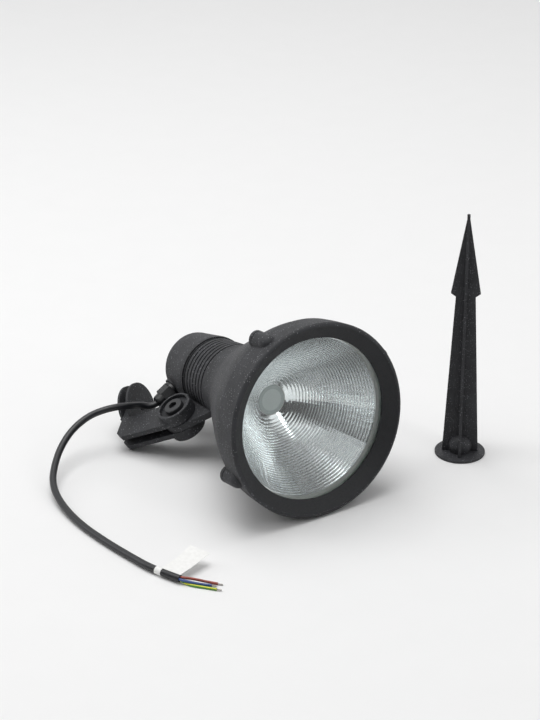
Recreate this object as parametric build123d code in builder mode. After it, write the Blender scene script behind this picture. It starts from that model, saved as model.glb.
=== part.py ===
from build123d import *
import math
import os

os.makedirs("parts", exist_ok=True)

# A garden spike spotlight: a lamp head lying on its front ring with its swivel bracket and cord,
# and its ground spike standing beside it on the spike's flange. Z is up and Z = 0 is the floor.

# ---- how the head lies: its aim, its roll about that aim, and the floor point below its front rim
aim_azimuth = -57.1
aim_elevation = 8.5
head_roll = 29.8
head_x = 15.6
head_y = -79.3
rim_bulge = 0.345

# ---- front ring
ring_radius = 95.0
ring_crest_radius = 91.8
ring_crest_round = 2.4
ring_rear_radius = 92.4
ring_length = 30.3
bezel_radius = 78.6
bezel_depth = 9.4
bezel_lip = 1.2
ring_wall = 3.4

# ---- lugs that hold the ring
lug_count = 4
lug_radius = 8.5
lug_centre_radius = 92.0
lug_turn = -4.5
lug_length = 22.0
lug_nose_round = 8.0
lug_gap = 1.0
tab_thickness = 3.6
screw_centre_radius = 94.0
ring_screw_radius = 2.0
ring_screw_depth = 12.0
ring_screw_head_radius = 3.6
ring_screw_head_height = 2.6

# ---- glass and its gasket
glass_radius = 86.5
glass_thickness = 4.0
gasket_thickness = 1.5
gasket_lip = 5.0
gasket_edge_gap = 0.2

# ---- housing
wall = 3.0
spigot_gap = 0.5
spigot_width = 4.2
spigot_step = 2.0
bell_front_radius = 91.4
bell_mid_radius = 76.4
bell_mid_depth = 65.5
bell_rear_radius = 53.8
bell_rear_depth = 107.5
neck_radius = 39.3
neck_start = 143.0
neck_end_radius = 37.1
neck_end = 187.0
groove_count = 7
groove_pitch = 5.9
groove_first = 149.6
groove_width = 1.9
groove_depth = 1.5
neck_bore_radius = 33.9
bulkhead_depth = 92.0
bulkhead_thickness = 5.0
wire_hole_radius = 4.0
wire_hole_offset = 27.5

# ---- reflector and light engine
reflector_mouth_radius = 77.2
reflector_throat_radius = 22.0
reflector_throat_depth = 81.5
reflector_wall = 1.3
reflector_flange = 5.0
reflector_columns = 60
reflector_steps = 16
holder_radius = 21.5
holder_opening = 14.8
holder_thickness = 4.0
board_radius = 24.0
board_thickness = 1.6
emitter_radius = 14.5
emitter_thickness = 1.4
spreader_radius = 33.0
led_screw_offset = 18.2
led_screw_radius = 1.2
led_screw_head_radius = 2.2
led_screw_head_height = 1.6
small_screw_depth = 6.0

# ---- driver
driver_width = 46.0
driver_height = 32.0
driver_length = 66.0
driver_round = 2.5
driver_foot_width = 6.0
driver_foot_thickness = 3.0
driver_screw_radius = 1.5
driver_screw_head_radius = 2.8
driver_screw_head_height = 2.0
terminal_width = 28.0
terminal_height = 13.0
terminal_length = 15.0

# ---- rear cap
cap_radius = 38.2
cap_end_radius = 33.8
cap_length = 46.5
cap_round = 9.0
cap_wall = 3.2
cap_seal_thickness = 1.2
cap_spigot_length = 6.0
cap_spigot_gap = 0.1
cap_spigot_wall = 2.4

# ---- cable gland
gland_depth = 220.0
gland_shift = 2.0
gland_face = 34.6
gland_pad_radius = 11.0
gland_pad_thickness = 8.0
gland_thread_radius = 7.9
gland_collar_radius = 9.4
gland_collar = 2.6
gland_ring_thickness = 0.8
gland_hex = 16.5
gland_hex_length = 11.6
gland_dome_length = 8.0
gland_mouth_round = 3.0
gland_inner_radius = 6.6

# ---- hinge
hinge_depth = 174.0
hinge_offset = 58.0
cheek_radius = 18.2
cheek_outer = 16.3
fork_half_gap = 4.1
washer_thickness = 0.7
washer_radius = 14.0
side_play = 0.05
ear_root_radius = 36.0
ear_root_front = 136.0
ear_root_rear = 186.0
bolt_radius = 4.0
bolt_play = 0.06
bowl_radius = 15.5
bowl_depth = 4.0
bolt_head_radius = 9.8
bolt_head_height = 5.0
hex_key = 8.0
hex_key_depth = 3.6
nut_across_flats = 13.0
nut_height = 6.4

# ---- bracket arm and foot
arm_angle = 142.0
arm_length = 68.6
arm_half_height = 9.4
arm_near = 18.2
arm_far_root = 17.0
arm_far = 10.0
arm_far_start = 40.0
arm_corner = 7.0
fork_depth = 12.0
foot_radius = 25.0
foot_offset = 33.6
foot_inner_face = 57.6
foot_thickness = 2.6
foot_outer_radius = 24.0
foot_overhang = 2.4
foot_neck_half = 9.4
foot_neck_width = 15.0
foot_hole_radius = 4.5

# ---- spike
spike_x = 158.8
spike_y = 38.8
spike_turn = 84.8
spike_height = 257.0
spike_flange_thickness = 2.6
spike_base_half = 17.8
spike_neck_half = 9.6
barb_height = 174.0
barb_half = 14.4
barb_drop = 3.5
fin_thickness = 3.0
spike_boss_radius = 11.7
spike_boss_height = 17.0
insert_across_flats = 13.0
insert_length = 12.0
insert_thread_radius = 3.35
insert_setback = 0.6

# ---- cord
cord_radius = 3.45
core_radius = 1.25
strand_radius = 0.8
core_offset = 1.5
strand_length = 3.0
tag_width = 10.0
tag_length = 36.0
tag_thickness = 0.6
tag_sleeve_gap = 0.4
tag_sleeve_wall = 0.45
tag_from_bend = 4.5
cord_start = 13.5
cord_first_bend = 28.0

# ---- frames of the head, the hinge and the bracket
az = math.radians(aim_azimuth)
el = math.radians(aim_elevation)
roll = math.radians(head_roll)
aim = Vector(math.cos(el) * math.cos(az), math.cos(el) * math.sin(az), math.sin(el))
lift = (Vector(0, 0, 1) - aim * aim.Z).normalized()
side = aim.cross(lift)
pivot_dir = lift * math.cos(roll) + side * math.sin(roll)
ring_contact = ring_length * 0.35
head_z = ring_radius * math.cos(el) + ring_contact * math.sin(el) + rim_bulge
head = Plane(origin=(head_x, head_y, head_z), x_dir=pivot_dir, z_dir=aim)
head_side = Plane(origin=head.origin, x_dir=head.y_dir, z_dir=head.x_dir)
head_axis = Axis(head.origin, head.z_dir)
hinge_point = head.origin - aim * hinge_depth + head.y_dir * hinge_offset
psi = math.radians(arm_angle)
arm_dir = aim * math.cos(psi) + head.y_dir * math.sin(psi)
arm = Plane(origin=hinge_point, x_dir=arm_dir, z_dir=pivot_dir)


def depth_plane(depth):
    """The plane across the head at a depth behind the front crest, facing forwards."""
    return Plane(origin=head.origin - aim * depth, x_dir=head.x_dir, z_dir=aim)


def rear_plane(depth):
    """The same plane facing backwards."""
    return Plane(origin=head.origin - aim * depth, x_dir=head.x_dir, z_dir=aim * -1)


# ---- front ring
glass_front = bezel_depth + bezel_lip + gasket_thickness
glass_rear = glass_front + glass_thickness
spigot_front = glass_rear + gasket_thickness
pocket_radius = ring_rear_radius - ring_wall

with BuildPart() as lug_boss:
    with BuildSketch(Plane.XY) as lug_section:
        Circle(lug_radius)
    extrude(amount=lug_length)
    fillet(lug_boss.faces().sort_by(Axis.Z)[-1].edges(), lug_nose_round)

with BuildPart(depth_plane(ring_length)) as front_ring:
    with BuildSketch(head_side) as ring_profile:
        with BuildLine() as ring_line:
            Polyline((0, -0.01), (ring_crest_radius, 0))
            ThreePointArc(
                (ring_crest_radius, 0),
                (ring_radius - 0.8, -ring_crest_round * 0.45),
                (ring_radius, -ring_crest_round),
            )
            Spline(
                (ring_radius, -ring_crest_round),
                (ring_radius - 0.7, -ring_length * 0.42),
                (ring_rear_radius, -ring_length),
            )
            Polyline((ring_rear_radius, -ring_length), (0, -ring_length), (0, -0.01))
        make_face()
    revolve(axis=head_axis)
    with PolarLocations(lug_centre_radius, lug_count, start_angle=lug_turn):
        add(lug_boss.part)
    with BuildSketch(head_side) as ring_inside:
        with BuildLine():
            Polyline(
                (0, 5),
                (ring_crest_radius - 0.5, 5),
                (ring_crest_radius - 0.5, -0.6),
                (bezel_radius, -bezel_depth),
                (bezel_radius, -bezel_depth - bezel_lip),
                (pocket_radius, -bezel_depth - bezel_lip),
                (pocket_radius, -ring_length - 5),
                (0, -ring_length - 5),
                (0, 5),
            )
        make_face()
    revolve(axis=head_axis, mode=Mode.SUBTRACT)
    with BuildSketch(rear_plane(ring_length - ring_screw_depth)) as ring_holes:
        with PolarLocations(screw_centre_radius, lug_count, start_angle=-lug_turn):
            Circle(ring_screw_radius + 0.05)
    extrude(amount=ring_screw_depth + 1, mode=Mode.SUBTRACT)
front_ring.part.label = "front_ring"
export_step(front_ring.part, "parts/front_ring.step")

# ---- glass and gasket
with BuildPart() as front_glass:
    with BuildSketch(rear_plane(glass_front)) as glass_disc:
        Circle(glass_radius)
    extrude(amount=glass_thickness)
    chamfer(front_glass.edges(), 0.4)
front_glass.part.label = "front_glass"
export_step(front_glass.part, "parts/front_glass.step")

gasket_radius = pocket_radius - gasket_edge_gap
with BuildPart() as glass_gasket:
    with BuildSketch(head_side) as gasket_profile:
        with BuildLine():
            Polyline(
                (glass_radius - gasket_lip, -glass_front),
                (glass_radius - gasket_lip, -glass_front + gasket_thickness),
                (gasket_radius, -glass_front + gasket_thickness),
                (gasket_radius, -spigot_front),
                (glass_radius - gasket_lip, -spigot_front),
                (glass_radius - gasket_lip, -glass_rear),
                (glass_radius, -glass_rear),
                (glass_radius, -glass_front),
                (glass_radius - gasket_lip, -glass_front),
            )
        make_face()
    revolve(axis=head_axis)
glass_gasket.part.label = "glass_gasket"
export_step(glass_gasket.part, "parts/glass_gasket.step")

# ---- housing: bell, neck with ring grooves, hinge ear and lug tabs in one casting
spigot_radius = pocket_radius - spigot_gap
bell_front = ring_length + lug_gap
ledge_depth = spigot_front + spigot_step
ledge_radius = reflector_mouth_radius + reflector_wall + 0.6
neck_slope = (neck_radius - neck_end_radius) / (neck_end - groove_first)

with BuildPart() as lamp_housing:
    with BuildSketch(head_side) as bell_profile:
        with BuildLine():
            Polyline(
                (0, -spigot_front),
                (spigot_radius, -spigot_front),
                (spigot_radius, -bell_front),
                (bell_front_radius, -bell_front),
            )
            Spline(
                (bell_front_radius, -bell_front),
                (bell_mid_radius, -bell_mid_depth),
                (bell_rear_radius, -bell_rear_depth),
                (neck_radius, -neck_start),
                tangents=((-0.24, -1), (-0.1, -1)),
            )
            Polyline(
                (neck_radius, -neck_start),
                (neck_radius, -groove_first),
                (neck_end_radius, -neck_end),
                (0, -neck_end),
                (0, -spigot_front),
            )
        make_face()
    revolve(axis=head_axis)
    with BuildSketch(rear_plane(bell_front)) as tab_section:
        with PolarLocations(lug_centre_radius, lug_count, start_angle=-lug_turn):
            Circle(lug_radius)
    extrude(amount=tab_thickness)
    with BuildSketch(head_side) as bell_inside:
        with BuildLine():
            Polyline(
                (0, -spigot_front + 5),
                (spigot_radius - spigot_width, -spigot_front + 5),
                (spigot_radius - spigot_width, -ledge_depth),
                (ledge_radius, -ledge_depth),
                (ledge_radius, -ledge_depth - 4),
                (bell_front_radius - wall - 1.5, -bell_front - 3),
            )
            Spline(
                (bell_front_radius - wall - 1.5, -bell_front - 3),
                (bell_mid_radius - wall - 0.5, -bell_mid_depth),
                (bell_rear_radius + 5, -bulkhead_depth),
            )
            Polyline((bell_rear_radius + 5, -bulkhead_depth), (0, -bulkhead_depth), (0, -spigot_front + 5))
        make_face()
    revolve(axis=head_axis, mode=Mode.SUBTRACT)
    with BuildSketch(head_side) as neck_inside:
        with BuildLine():
            Polyline(
                (0, -bulkhead_depth - bulkhead_thickness),
                (bell_rear_radius - wall, -bulkhead_depth - bulkhead_thickness),
                (bell_rear_radius - wall - 2, -bell_rear_depth),
                (neck_bore_radius, -neck_start + 2),
                (neck_bore_radius, -neck_end - 5),
                (0, -neck_end - 5),
                (0, -bulkhead_depth - bulkhead_thickness),
            )
        make_face()
    revolve(axis=head_axis, mode=Mode.SUBTRACT)
    for groove in range(groove_count):
        groove_at = groove_first + groove * groove_pitch
        groove_floor = neck_radius - neck_slope * (groove_at - groove_first) - groove_depth
        with BuildSketch(head_side) as groove_profile:
            with Locations((groove_floor, -groove_at)):
                Rectangle(6, groove_width, align=(Align.MIN, Align.CENTER))
        revolve(axis=head_axis, mode=Mode.SUBTRACT)
    ear_half = fork_half_gap - washer_thickness - side_play
    with BuildSketch(head_side) as ear_outline:
        with Locations((hinge_offset, -hinge_depth)):
            Circle(cheek_radius)
        with Locations((ear_root_radius, -(ear_root_front + ear_root_rear) / 2)):
            Rectangle(1.6, ear_root_rear - ear_root_front)
        make_hull()
    extrude(amount=ear_half, both=True)
    with BuildSketch(head_side) as ear_bore:
        with Locations((hinge_offset, -hinge_depth)):
            Circle(bolt_radius + bolt_play)
    extrude(amount=ear_half + 1, both=True, mode=Mode.SUBTRACT)
    with BuildSketch(rear_plane(bell_front - 1)) as tab_holes:
        with PolarLocations(screw_centre_radius, lug_count, start_angle=-lug_turn):
            Circle(ring_screw_radius + 0.2)
    extrude(amount=tab_thickness + 3, mode=Mode.SUBTRACT)
    with BuildSketch(rear_plane(bulkhead_depth - 1)) as wire_hole:
        with Locations((0, -wire_hole_offset)):
            Circle(wire_hole_radius)
        with Locations((0, 0)):
            with PolarLocations(led_screw_offset, 2):
                Circle(led_screw_radius)
    extrude(amount=bulkhead_thickness + 2, mode=Mode.SUBTRACT)
lamp_housing.part.label = "lamp_housing"
export_step(lamp_housing.part, "parts/lamp_housing.step")

# ---- ring screws, put in from behind through the tabs
tab_rear = bell_front + tab_thickness
with BuildPart() as ring_screws:
    with BuildSketch(rear_plane(ring_length - ring_screw_depth + 0.5)) as screw_shanks:
        with PolarLocations(screw_centre_radius, lug_count, start_angle=-lug_turn):
            Circle(ring_screw_radius)
    extrude(amount=ring_screw_depth - 0.5 + lug_gap + tab_thickness)
    with BuildSketch(rear_plane(tab_rear)) as screw_heads:
        with PolarLocations(screw_centre_radius, lug_count, start_angle=-lug_turn):
            Circle(ring_screw_head_radius)
    extrude(amount=ring_screw_head_height)
    with BuildSketch(rear_plane(tab_rear + ring_screw_head_height - 1.4)) as screw_sockets:
        with PolarLocations(screw_centre_radius, lug_count, start_angle=-lug_turn):
            RegularPolygon(1.5, 6)
    extrude(amount=2, mode=Mode.SUBTRACT)
ring_screws.part.label = "ring_screws"
export_step(ring_screws.part, "parts/ring_screws.step")

# ---- reflector: a bowl of flat facets in rings and columns, with a flange on the housing's ledge
flange_front = ledge_depth - reflector_wall
mouth_depth = flange_front
bowl_length = reflector_throat_depth - mouth_depth


def bowl_radius_at(depth):
    """Radius of the parabolic bowl at a depth behind the crest."""
    share = (reflector_throat_depth - depth) / bowl_length
    low = reflector_throat_radius ** 2
    high = reflector_mouth_radius ** 2
    return math.sqrt(low + (high - low) * share)


with BuildPart() as facet_tool:
    for step in range(reflector_steps):
        lower = 1 - (1 - step / reflector_steps) ** 1.6
        upper = 1 - (1 - (step + 1) / reflector_steps) ** 1.6
        front_at = mouth_depth + bowl_length * lower
        rear_at = mouth_depth + bowl_length * upper
        with BuildSketch(rear_plane(front_at)) as facet_front:
            RegularPolygon(bowl_radius_at(front_at), reflector_columns)
        with BuildSketch(rear_plane(rear_at)) as facet_rear:
            RegularPolygon(bowl_radius_at(rear_at), reflector_columns)
        loft([facet_front.sketch.faces()[0], facet_rear.sketch.faces()[0]], ruled=True)

with BuildPart() as reflector:
    with BuildSketch(head_side) as bowl_profile:
        with BuildLine():
            Polyline(
                (0, -flange_front),
                (spigot_radius - spigot_width - 0.3, -flange_front),
                (spigot_radius - spigot_width - 0.3, -ledge_depth),
                (reflector_mouth_radius + reflector_wall, -ledge_depth),
            )
            Spline(
                (reflector_mouth_radius + reflector_wall, -ledge_depth),
                (bowl_radius_at(mouth_depth + bowl_length * 0.35) + reflector_wall, -mouth_depth - bowl_length * 0.35),
                (bowl_radius_at(mouth_depth + bowl_length * 0.7) + reflector_wall, -mouth_depth - bowl_length * 0.7),
                (reflector_throat_radius + reflector_wall, -reflector_throat_depth),
            )
            Polyline(
                (reflector_throat_radius + reflector_wall, -reflector_throat_depth),
                (0, -reflector_throat_depth),
                (0, -flange_front),
            )
        make_face()
    revolve(axis=head_axis)
    add(facet_tool.part, mode=Mode.SUBTRACT)
reflector.part.label = "reflector"
export_step(reflector.part, "parts/reflector.step")

# ---- light engine: emitter on its board, held by a ring on the heat spreader
spreader_front = reflector_throat_depth + 4.1
board_front = spreader_front - board_thickness
holder_front = board_front - holder_thickness
with BuildPart() as heat_spreader:
    with BuildSketch(rear_plane(spreader_front)) as spreader_disc:
        Circle(spreader_radius)
        with Locations((0, -wire_hole_offset)):
            Circle(wire_hole_radius, mode=Mode.SUBTRACT)
        with PolarLocations(led_screw_offset, 2):
            Circle(led_screw_radius + 0.02, mode=Mode.SUBTRACT)
    extrude(amount=bulkhead_depth - spreader_front)
heat_spreader.part.label = "heat_spreader"
export_step(heat_spreader.part, "parts/heat_spreader.step")

with BuildPart() as led_board:
    with BuildSketch(rear_plane(board_front)) as board_disc:
        Circle(board_radius)
        with Locations((0, -wire_hole_offset)):
            Circle(wire_hole_radius + 1.5, mode=Mode.SUBTRACT)
        with PolarLocations(led_screw_offset, 2):
            Circle(led_screw_radius + 0.2, mode=Mode.SUBTRACT)
    extrude(amount=board_thickness)
led_board.part.label = "led_board"
export_step(led_board.part, "parts/led_board.step")

with BuildPart() as led_emitter:
    with BuildSketch(rear_plane(board_front - emitter_thickness)) as emitter_disc:
        Circle(emitter_radius)
    extrude(amount=emitter_thickness)
    fillet(led_emitter.faces().sort_by(Axis(head.origin, head.z_dir))[-1].edges(), 0.5)
led_emitter.part.label = "led_emitter"
export_step(led_emitter.part, "parts/led_emitter.step")

with BuildPart() as led_holder:
    with BuildSketch(head_side) as holder_profile:
        with BuildLine():
            Polyline(
                (holder_opening, -board_front),
                (holder_opening, -board_front + 1.6),
                (holder_radius - 2.4, -holder_front),
                (holder_radius - 0.6, -holder_front),
                (holder_radius - 0.2, -board_front),
                (holder_opening, -board_front),
            )
        make_face()
    revolve(axis=head_axis)
    with BuildSketch(rear_plane(holder_front - 1)) as holder_holes:
        with PolarLocations(led_screw_offset, 2):
            Circle(led_screw_radius + 0.2)
    extrude(amount=holder_thickness + 2, mode=Mode.SUBTRACT)
    with BuildSketch(rear_plane(holder_front - 1)) as holder_sinks:
        with PolarLocations(led_screw_offset, 2):
            Circle(led_screw_head_radius + 0.2)
    extrude(amount=1 + led_screw_head_height, mode=Mode.SUBTRACT)
led_holder.part.label = "led_holder"
export_step(led_holder.part, "parts/led_holder.step")

with BuildPart() as led_screws:
    with BuildSketch(rear_plane(holder_front)) as led_screw_heads:
        with PolarLocations(led_screw_offset, 2):
            Circle(led_screw_head_radius)
    extrude(amount=led_screw_head_height)
    with BuildSketch(rear_plane(holder_front + led_screw_head_height)) as led_screw_shanks:
        with PolarLocations(led_screw_offset, 2):
            Circle(led_screw_radius)
    extrude(amount=spreader_front + small_screw_depth - holder_front - led_screw_head_height)
led_screws.part.label = "led_screws"
export_step(led_screws.part, "parts/led_screws.step")

# ---- driver on the rear of the bulkhead, with the terminal block on its end
driver_front = bulkhead_depth + bulkhead_thickness
driver_foot_reach = driver_width / 2 + driver_foot_width
with BuildPart() as driver_box:
    with BuildSketch(rear_plane(driver_front)) as driver_section:
        RectangleRounded(driver_width, driver_height, driver_round)
    extrude(amount=driver_length)
    with BuildSketch(rear_plane(driver_front)) as driver_feet:
        RectangleRounded(driver_foot_reach * 2, driver_height * 0.5, driver_round)
    extrude(amount=driver_foot_thickness)
    with BuildSketch(rear_plane(driver_front - 1)) as driver_foot_holes:
        with PolarLocations(driver_foot_reach - driver_foot_width / 2 + 0.2, 2):
            Circle(driver_screw_radius + 0.2)
    extrude(amount=driver_foot_thickness + 2, mode=Mode.SUBTRACT)
driver_box.part.label = "driver_box"
export_step(driver_box.part, "parts/driver_box.step")

with BuildPart() as driver_screws:
    with BuildSketch(rear_plane(driver_front)) as driver_screw_shanks:
        with PolarLocations(driver_foot_reach - driver_foot_width / 2 + 0.2, 2):
            Circle(driver_screw_radius)
    extrude(amount=driver_foot_thickness)
    with BuildSketch(rear_plane(driver_front + driver_foot_thickness)) as driver_screw_heads:
        with PolarLocations(driver_foot_reach - driver_foot_width / 2 + 0.2, 2):
            Circle(driver_screw_head_radius - 0.3)
    extrude(amount=driver_screw_head_height)
driver_screws.part.label = "driver_screws"
export_step(driver_screws.part, "parts/driver_screws.step")

terminal_front = driver_front + driver_length
with BuildPart() as terminal_block:
    with BuildSketch(rear_plane(terminal_front)) as terminal_section:
        RectangleRounded(terminal_width, terminal_height, 1)
    extrude(amount=terminal_length)
    with BuildSketch(rear_plane(terminal_front + terminal_length - 9)) as terminal_ways:
        with GridLocations(terminal_width / 3, 1, 3, 1):
            Circle(1.9)
    extrude(amount=10, mode=Mode.SUBTRACT)
terminal_block.part.label = "terminal_block"
export_step(terminal_block.part, "parts/terminal_block.step")

# ---- rear cap with the gland's seat on its underside, and its seal
cap_front = neck_end + cap_seal_thickness
cap_end = cap_front + cap_length
spigot_outer = neck_bore_radius - cap_spigot_gap
gland = Plane(
    origin=head.origin - aim * gland_depth + head.y_dir * gland_face + pivot_dir * gland_shift,
    x_dir=aim,
    z_dir=head.y_dir,
)
with BuildPart() as rear_cap:
    with BuildSketch(head_side) as cap_profile:
        with BuildLine():
            Polyline(
                (0, -cap_front + cap_spigot_length),
                (spigot_outer, -cap_front + cap_spigot_length),
                (spigot_outer, -cap_front),
                (cap_radius, -cap_front),
                (cap_radius, -cap_front - 4),
                (cap_end_radius, -cap_end + cap_round),
            )
            RadiusArc((cap_end_radius, -cap_end + cap_round), (cap_end_radius - cap_round, -cap_end), cap_round * 1.02)
            Polyline(
                (cap_end_radius - cap_round, -cap_end),
                (0, -cap_end),
                (0, -cap_front + cap_spigot_length),
            )
        make_face()
    revolve(axis=head_axis)
    with BuildSketch(head_side) as cap_inside:
        with BuildLine():
            Polyline(
                (0, -cap_front + cap_spigot_length + 2),
                (spigot_outer - cap_spigot_wall, -cap_front + cap_spigot_length + 2),
                (spigot_outer - cap_spigot_wall, -cap_end + cap_wall + cap_round),
                (cap_end_radius - cap_round - cap_wall, -cap_end + cap_wall),
                (0, -cap_end + cap_wall),
                (0, -cap_front + cap_spigot_length + 2),
            )
        make_face()
    revolve(axis=head_axis, mode=Mode.SUBTRACT)
    with BuildSketch(gland) as gland_pad:
        Circle(gland_pad_radius)
    extrude(amount=-gland_pad_thickness)
    with BuildSketch(gland) as gland_spot:
        Circle(gland_pad_radius - 0.5)
    extrude(amount=12, mode=Mode.SUBTRACT)
    with BuildSketch(gland) as gland_hole:
        Circle(gland_thread_radius + 0.05)
    extrude(amount=-gland_pad_thickness - 4, mode=Mode.SUBTRACT)
rear_cap.part.label = "rear_cap"
export_step(rear_cap.part, "parts/rear_cap.step")

with BuildPart() as rear_cap_seal:
    with BuildSketch(rear_plane(neck_end)) as seal_ring:
        Circle(neck_end_radius - 0.5)
        Circle(neck_bore_radius + 0.3, mode=Mode.SUBTRACT)
    extrude(amount=cap_seal_thickness)
rear_cap_seal.part.label = "rear_cap_seal"
export_step(rear_cap_seal.part, "parts/rear_cap_seal.step")

# ---- cable gland
collar_base = gland_ring_thickness
hex_base = collar_base + gland_collar
hex_end = hex_base + gland_hex_length
mouth = hex_end + gland_dome_length
core_end = hex_end - 3
with BuildPart() as gland_ring:
    with BuildSketch(gland) as gland_ring_section:
        Circle(gland_collar_radius - 0.2)
        Circle(gland_thread_radius + 0.1, mode=Mode.SUBTRACT)
    extrude(amount=gland_ring_thickness)
gland_ring.part.label = "gland_ring"
export_step(gland_ring.part, "parts/gland_ring.step")

with BuildPart() as cable_gland_body:
    with BuildSketch(gland.offset(-gland_pad_thickness)) as gland_shank:
        Circle(gland_thread_radius)
    extrude(amount=gland_pad_thickness + collar_base)
    with BuildSketch(gland.offset(collar_base)) as gland_collar_section:
        Circle(gland_collar_radius)
    extrude(amount=gland_collar)
    with BuildSketch(gland.offset(hex_base)) as gland_front_shank:
        Circle(gland_inner_radius - 0.1)
    extrude(amount=core_end - hex_base - 3)
    with BuildSketch(gland.offset(-gland_pad_thickness - 1)) as gland_bore:
        Circle(cord_radius + 0.7)
    extrude(amount=mouth + gland_pad_thickness, mode=Mode.SUBTRACT)
cable_gland_body.part.label = "cable_gland_body"
export_step(cable_gland_body.part, "parts/cable_gland_body.step")

with BuildPart() as gland_seal:
    with BuildSketch(gland.offset(core_end - 3)) as gland_seal_section:
        Circle(gland_inner_radius - 0.2)
        Circle(cord_radius + 0.05, mode=Mode.SUBTRACT)
    extrude(amount=4.5)
gland_seal.part.label = "gland_seal"
export_step(gland_seal.part, "parts/gland_seal.step")

with BuildPart() as cable_gland_nut:
    with BuildSketch(gland.offset(hex_base + 0.1)) as gland_nut_hex:
        RegularPolygon(gland_hex / 2, 6, major_radius=False)
    extrude(amount=gland_hex_length - 0.1)
    with BuildSketch(gland.offset(hex_end)) as gland_nut_dome:
        Circle(gland_hex / 2 - 0.4)
    extrude(amount=gland_dome_length, taper=6)
    fillet(cable_gland_nut.faces().sort_by(Axis(gland.origin, gland.z_dir))[-1].edges(), gland_mouth_round)
    with BuildSketch(gland) as gland_nut_cavity:
        Circle(gland_inner_radius)
    extrude(amount=core_end + 1.5, mode=Mode.SUBTRACT)
    with BuildSketch(gland) as gland_nut_mouth:
        Circle(cord_radius + 0.25)
    extrude(amount=mouth + 1, mode=Mode.SUBTRACT)
cable_gland_nut.part.label = "cable_gland_nut"
export_step(cable_gland_nut.part, "parts/cable_gland_nut.step")

# ---- swivel bracket: fork cheeks, arm and the two-flange foot in one casting
foot_outer_face = arm_length + foot_overhang
with BuildPart() as swivel_bracket:
    with BuildSketch(arm) as cheek_section:
        Circle(cheek_radius)
    extrude(amount=cheek_outer, both=True)
    fillet(swivel_bracket.faces().filter_by(GeomType.PLANE).edges(), 1.2)
    with BuildSketch(arm) as arm_outline:
        with BuildLine():
            Polyline(
                (0, arm_near),
                (arm_length - arm_corner, arm_near),
                (arm_length, arm_near - arm_corner),
                (arm_length, -arm_far),
                (arm_far_start, -arm_far),
                (cheek_radius * 0.5, -arm_far_root),
                (0, 0),
                (0, arm_near),
            )
        make_face()
    extrude(amount=arm_half_height, both=True)
    foot_plane = Plane(
        origin=hinge_point + arm_dir * foot_inner_face - arm.y_dir * foot_offset,
        x_dir=arm.y_dir,
        z_dir=arm_dir,
    )
    with BuildSketch(foot_plane) as foot_neck:
        with Locations((foot_neck_width * 0.45, 0)):
            Rectangle(foot_neck_width * 2.3, foot_neck_half * 2)
    extrude(amount=foot_outer_face - foot_inner_face)
    with BuildSketch(foot_plane) as foot_inner_disc:
        Circle(foot_radius)
    extrude(amount=foot_thickness)
    with BuildSketch(foot_plane.offset(foot_outer_face - foot_inner_face - foot_thickness)) as foot_outer_disc:
        Circle(foot_outer_radius)
    extrude(amount=foot_thickness)
    with BuildSketch(foot_plane.offset(-5)) as foot_bore:
        Circle(foot_hole_radius)
    extrude(amount=foot_outer_face - foot_inner_face + 10, mode=Mode.SUBTRACT)
    with BuildSketch(arm) as fork_gap:
        Circle(cheek_radius + 1.2)
        with Locations((arm_length / 2, arm_near - fork_depth / 2)):
            Rectangle(arm_length + 4, fork_depth)
        with Locations((arm_length / 2, arm_near + 2)):
            Rectangle(arm_length + 4, 4)
    extrude(amount=fork_half_gap, both=True, mode=Mode.SUBTRACT)
    with BuildSketch(arm.offset(cheek_outer - bowl_depth)) as top_bowl:
        Circle(bowl_radius)
    extrude(amount=bowl_depth + 1, mode=Mode.SUBTRACT)
    with BuildSketch(arm.offset(-cheek_outer - 1)) as under_bowl:
        Circle(bowl_radius)
    extrude(amount=bowl_depth + 1, mode=Mode.SUBTRACT)
    with BuildSketch(arm) as bolt_bore:
        Circle(bolt_radius + 0.05)
    extrude(amount=cheek_outer + 1, both=True, mode=Mode.SUBTRACT)
swivel_bracket.part.label = "swivel_bracket"
export_step(swivel_bracket.part, "parts/swivel_bracket.step")

seat = cheek_outer - bowl_depth
with BuildPart() as pivot_bolt:
    with BuildSketch(arm.offset(seat)) as bolt_head:
        Circle(bolt_head_radius)
    extrude(amount=bolt_head_height)
    fillet(pivot_bolt.faces().sort_by(Axis(hinge_point, pivot_dir))[-1].edges(), 1.6)
    with BuildSketch(arm.offset(-seat - nut_height - 1.5)) as bolt_shank:
        Circle(bolt_radius)
    extrude(amount=seat * 2 + nut_height + 1.5)
    with BuildSketch(arm.offset(seat + bolt_head_height - hex_key_depth)) as bolt_socket:
        RegularPolygon(hex_key / 2, 6, major_radius=False)
    extrude(amount=hex_key_depth + 1, mode=Mode.SUBTRACT)
pivot_bolt.part.label = "pivot_bolt"
export_step(pivot_bolt.part, "parts/pivot_bolt.step")

with BuildPart() as pivot_nut:
    with BuildSketch(arm.offset(-seat - nut_height)) as nut_section:
        RegularPolygon(nut_across_flats / 2, 6, major_radius=False)
        Circle(bolt_radius + 0.02, mode=Mode.SUBTRACT)
    extrude(amount=nut_height)
pivot_nut.part.label = "pivot_nut"
export_step(pivot_nut.part, "parts/pivot_nut.step")

with BuildPart() as friction_washers:
    with BuildSketch(arm.offset(fork_half_gap - washer_thickness)) as upper_washer:
        Circle(washer_radius)
        Circle(bolt_radius + 0.1, mode=Mode.SUBTRACT)
    extrude(amount=washer_thickness)
    with BuildSketch(arm.offset(-fork_half_gap)) as lower_washer:
        Circle(washer_radius)
        Circle(bolt_radius + 0.1, mode=Mode.SUBTRACT)
    extrude(amount=washer_thickness)
friction_washers.part.label = "friction_washers"
export_step(friction_washers.part, "parts/friction_washers.step")

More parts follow.
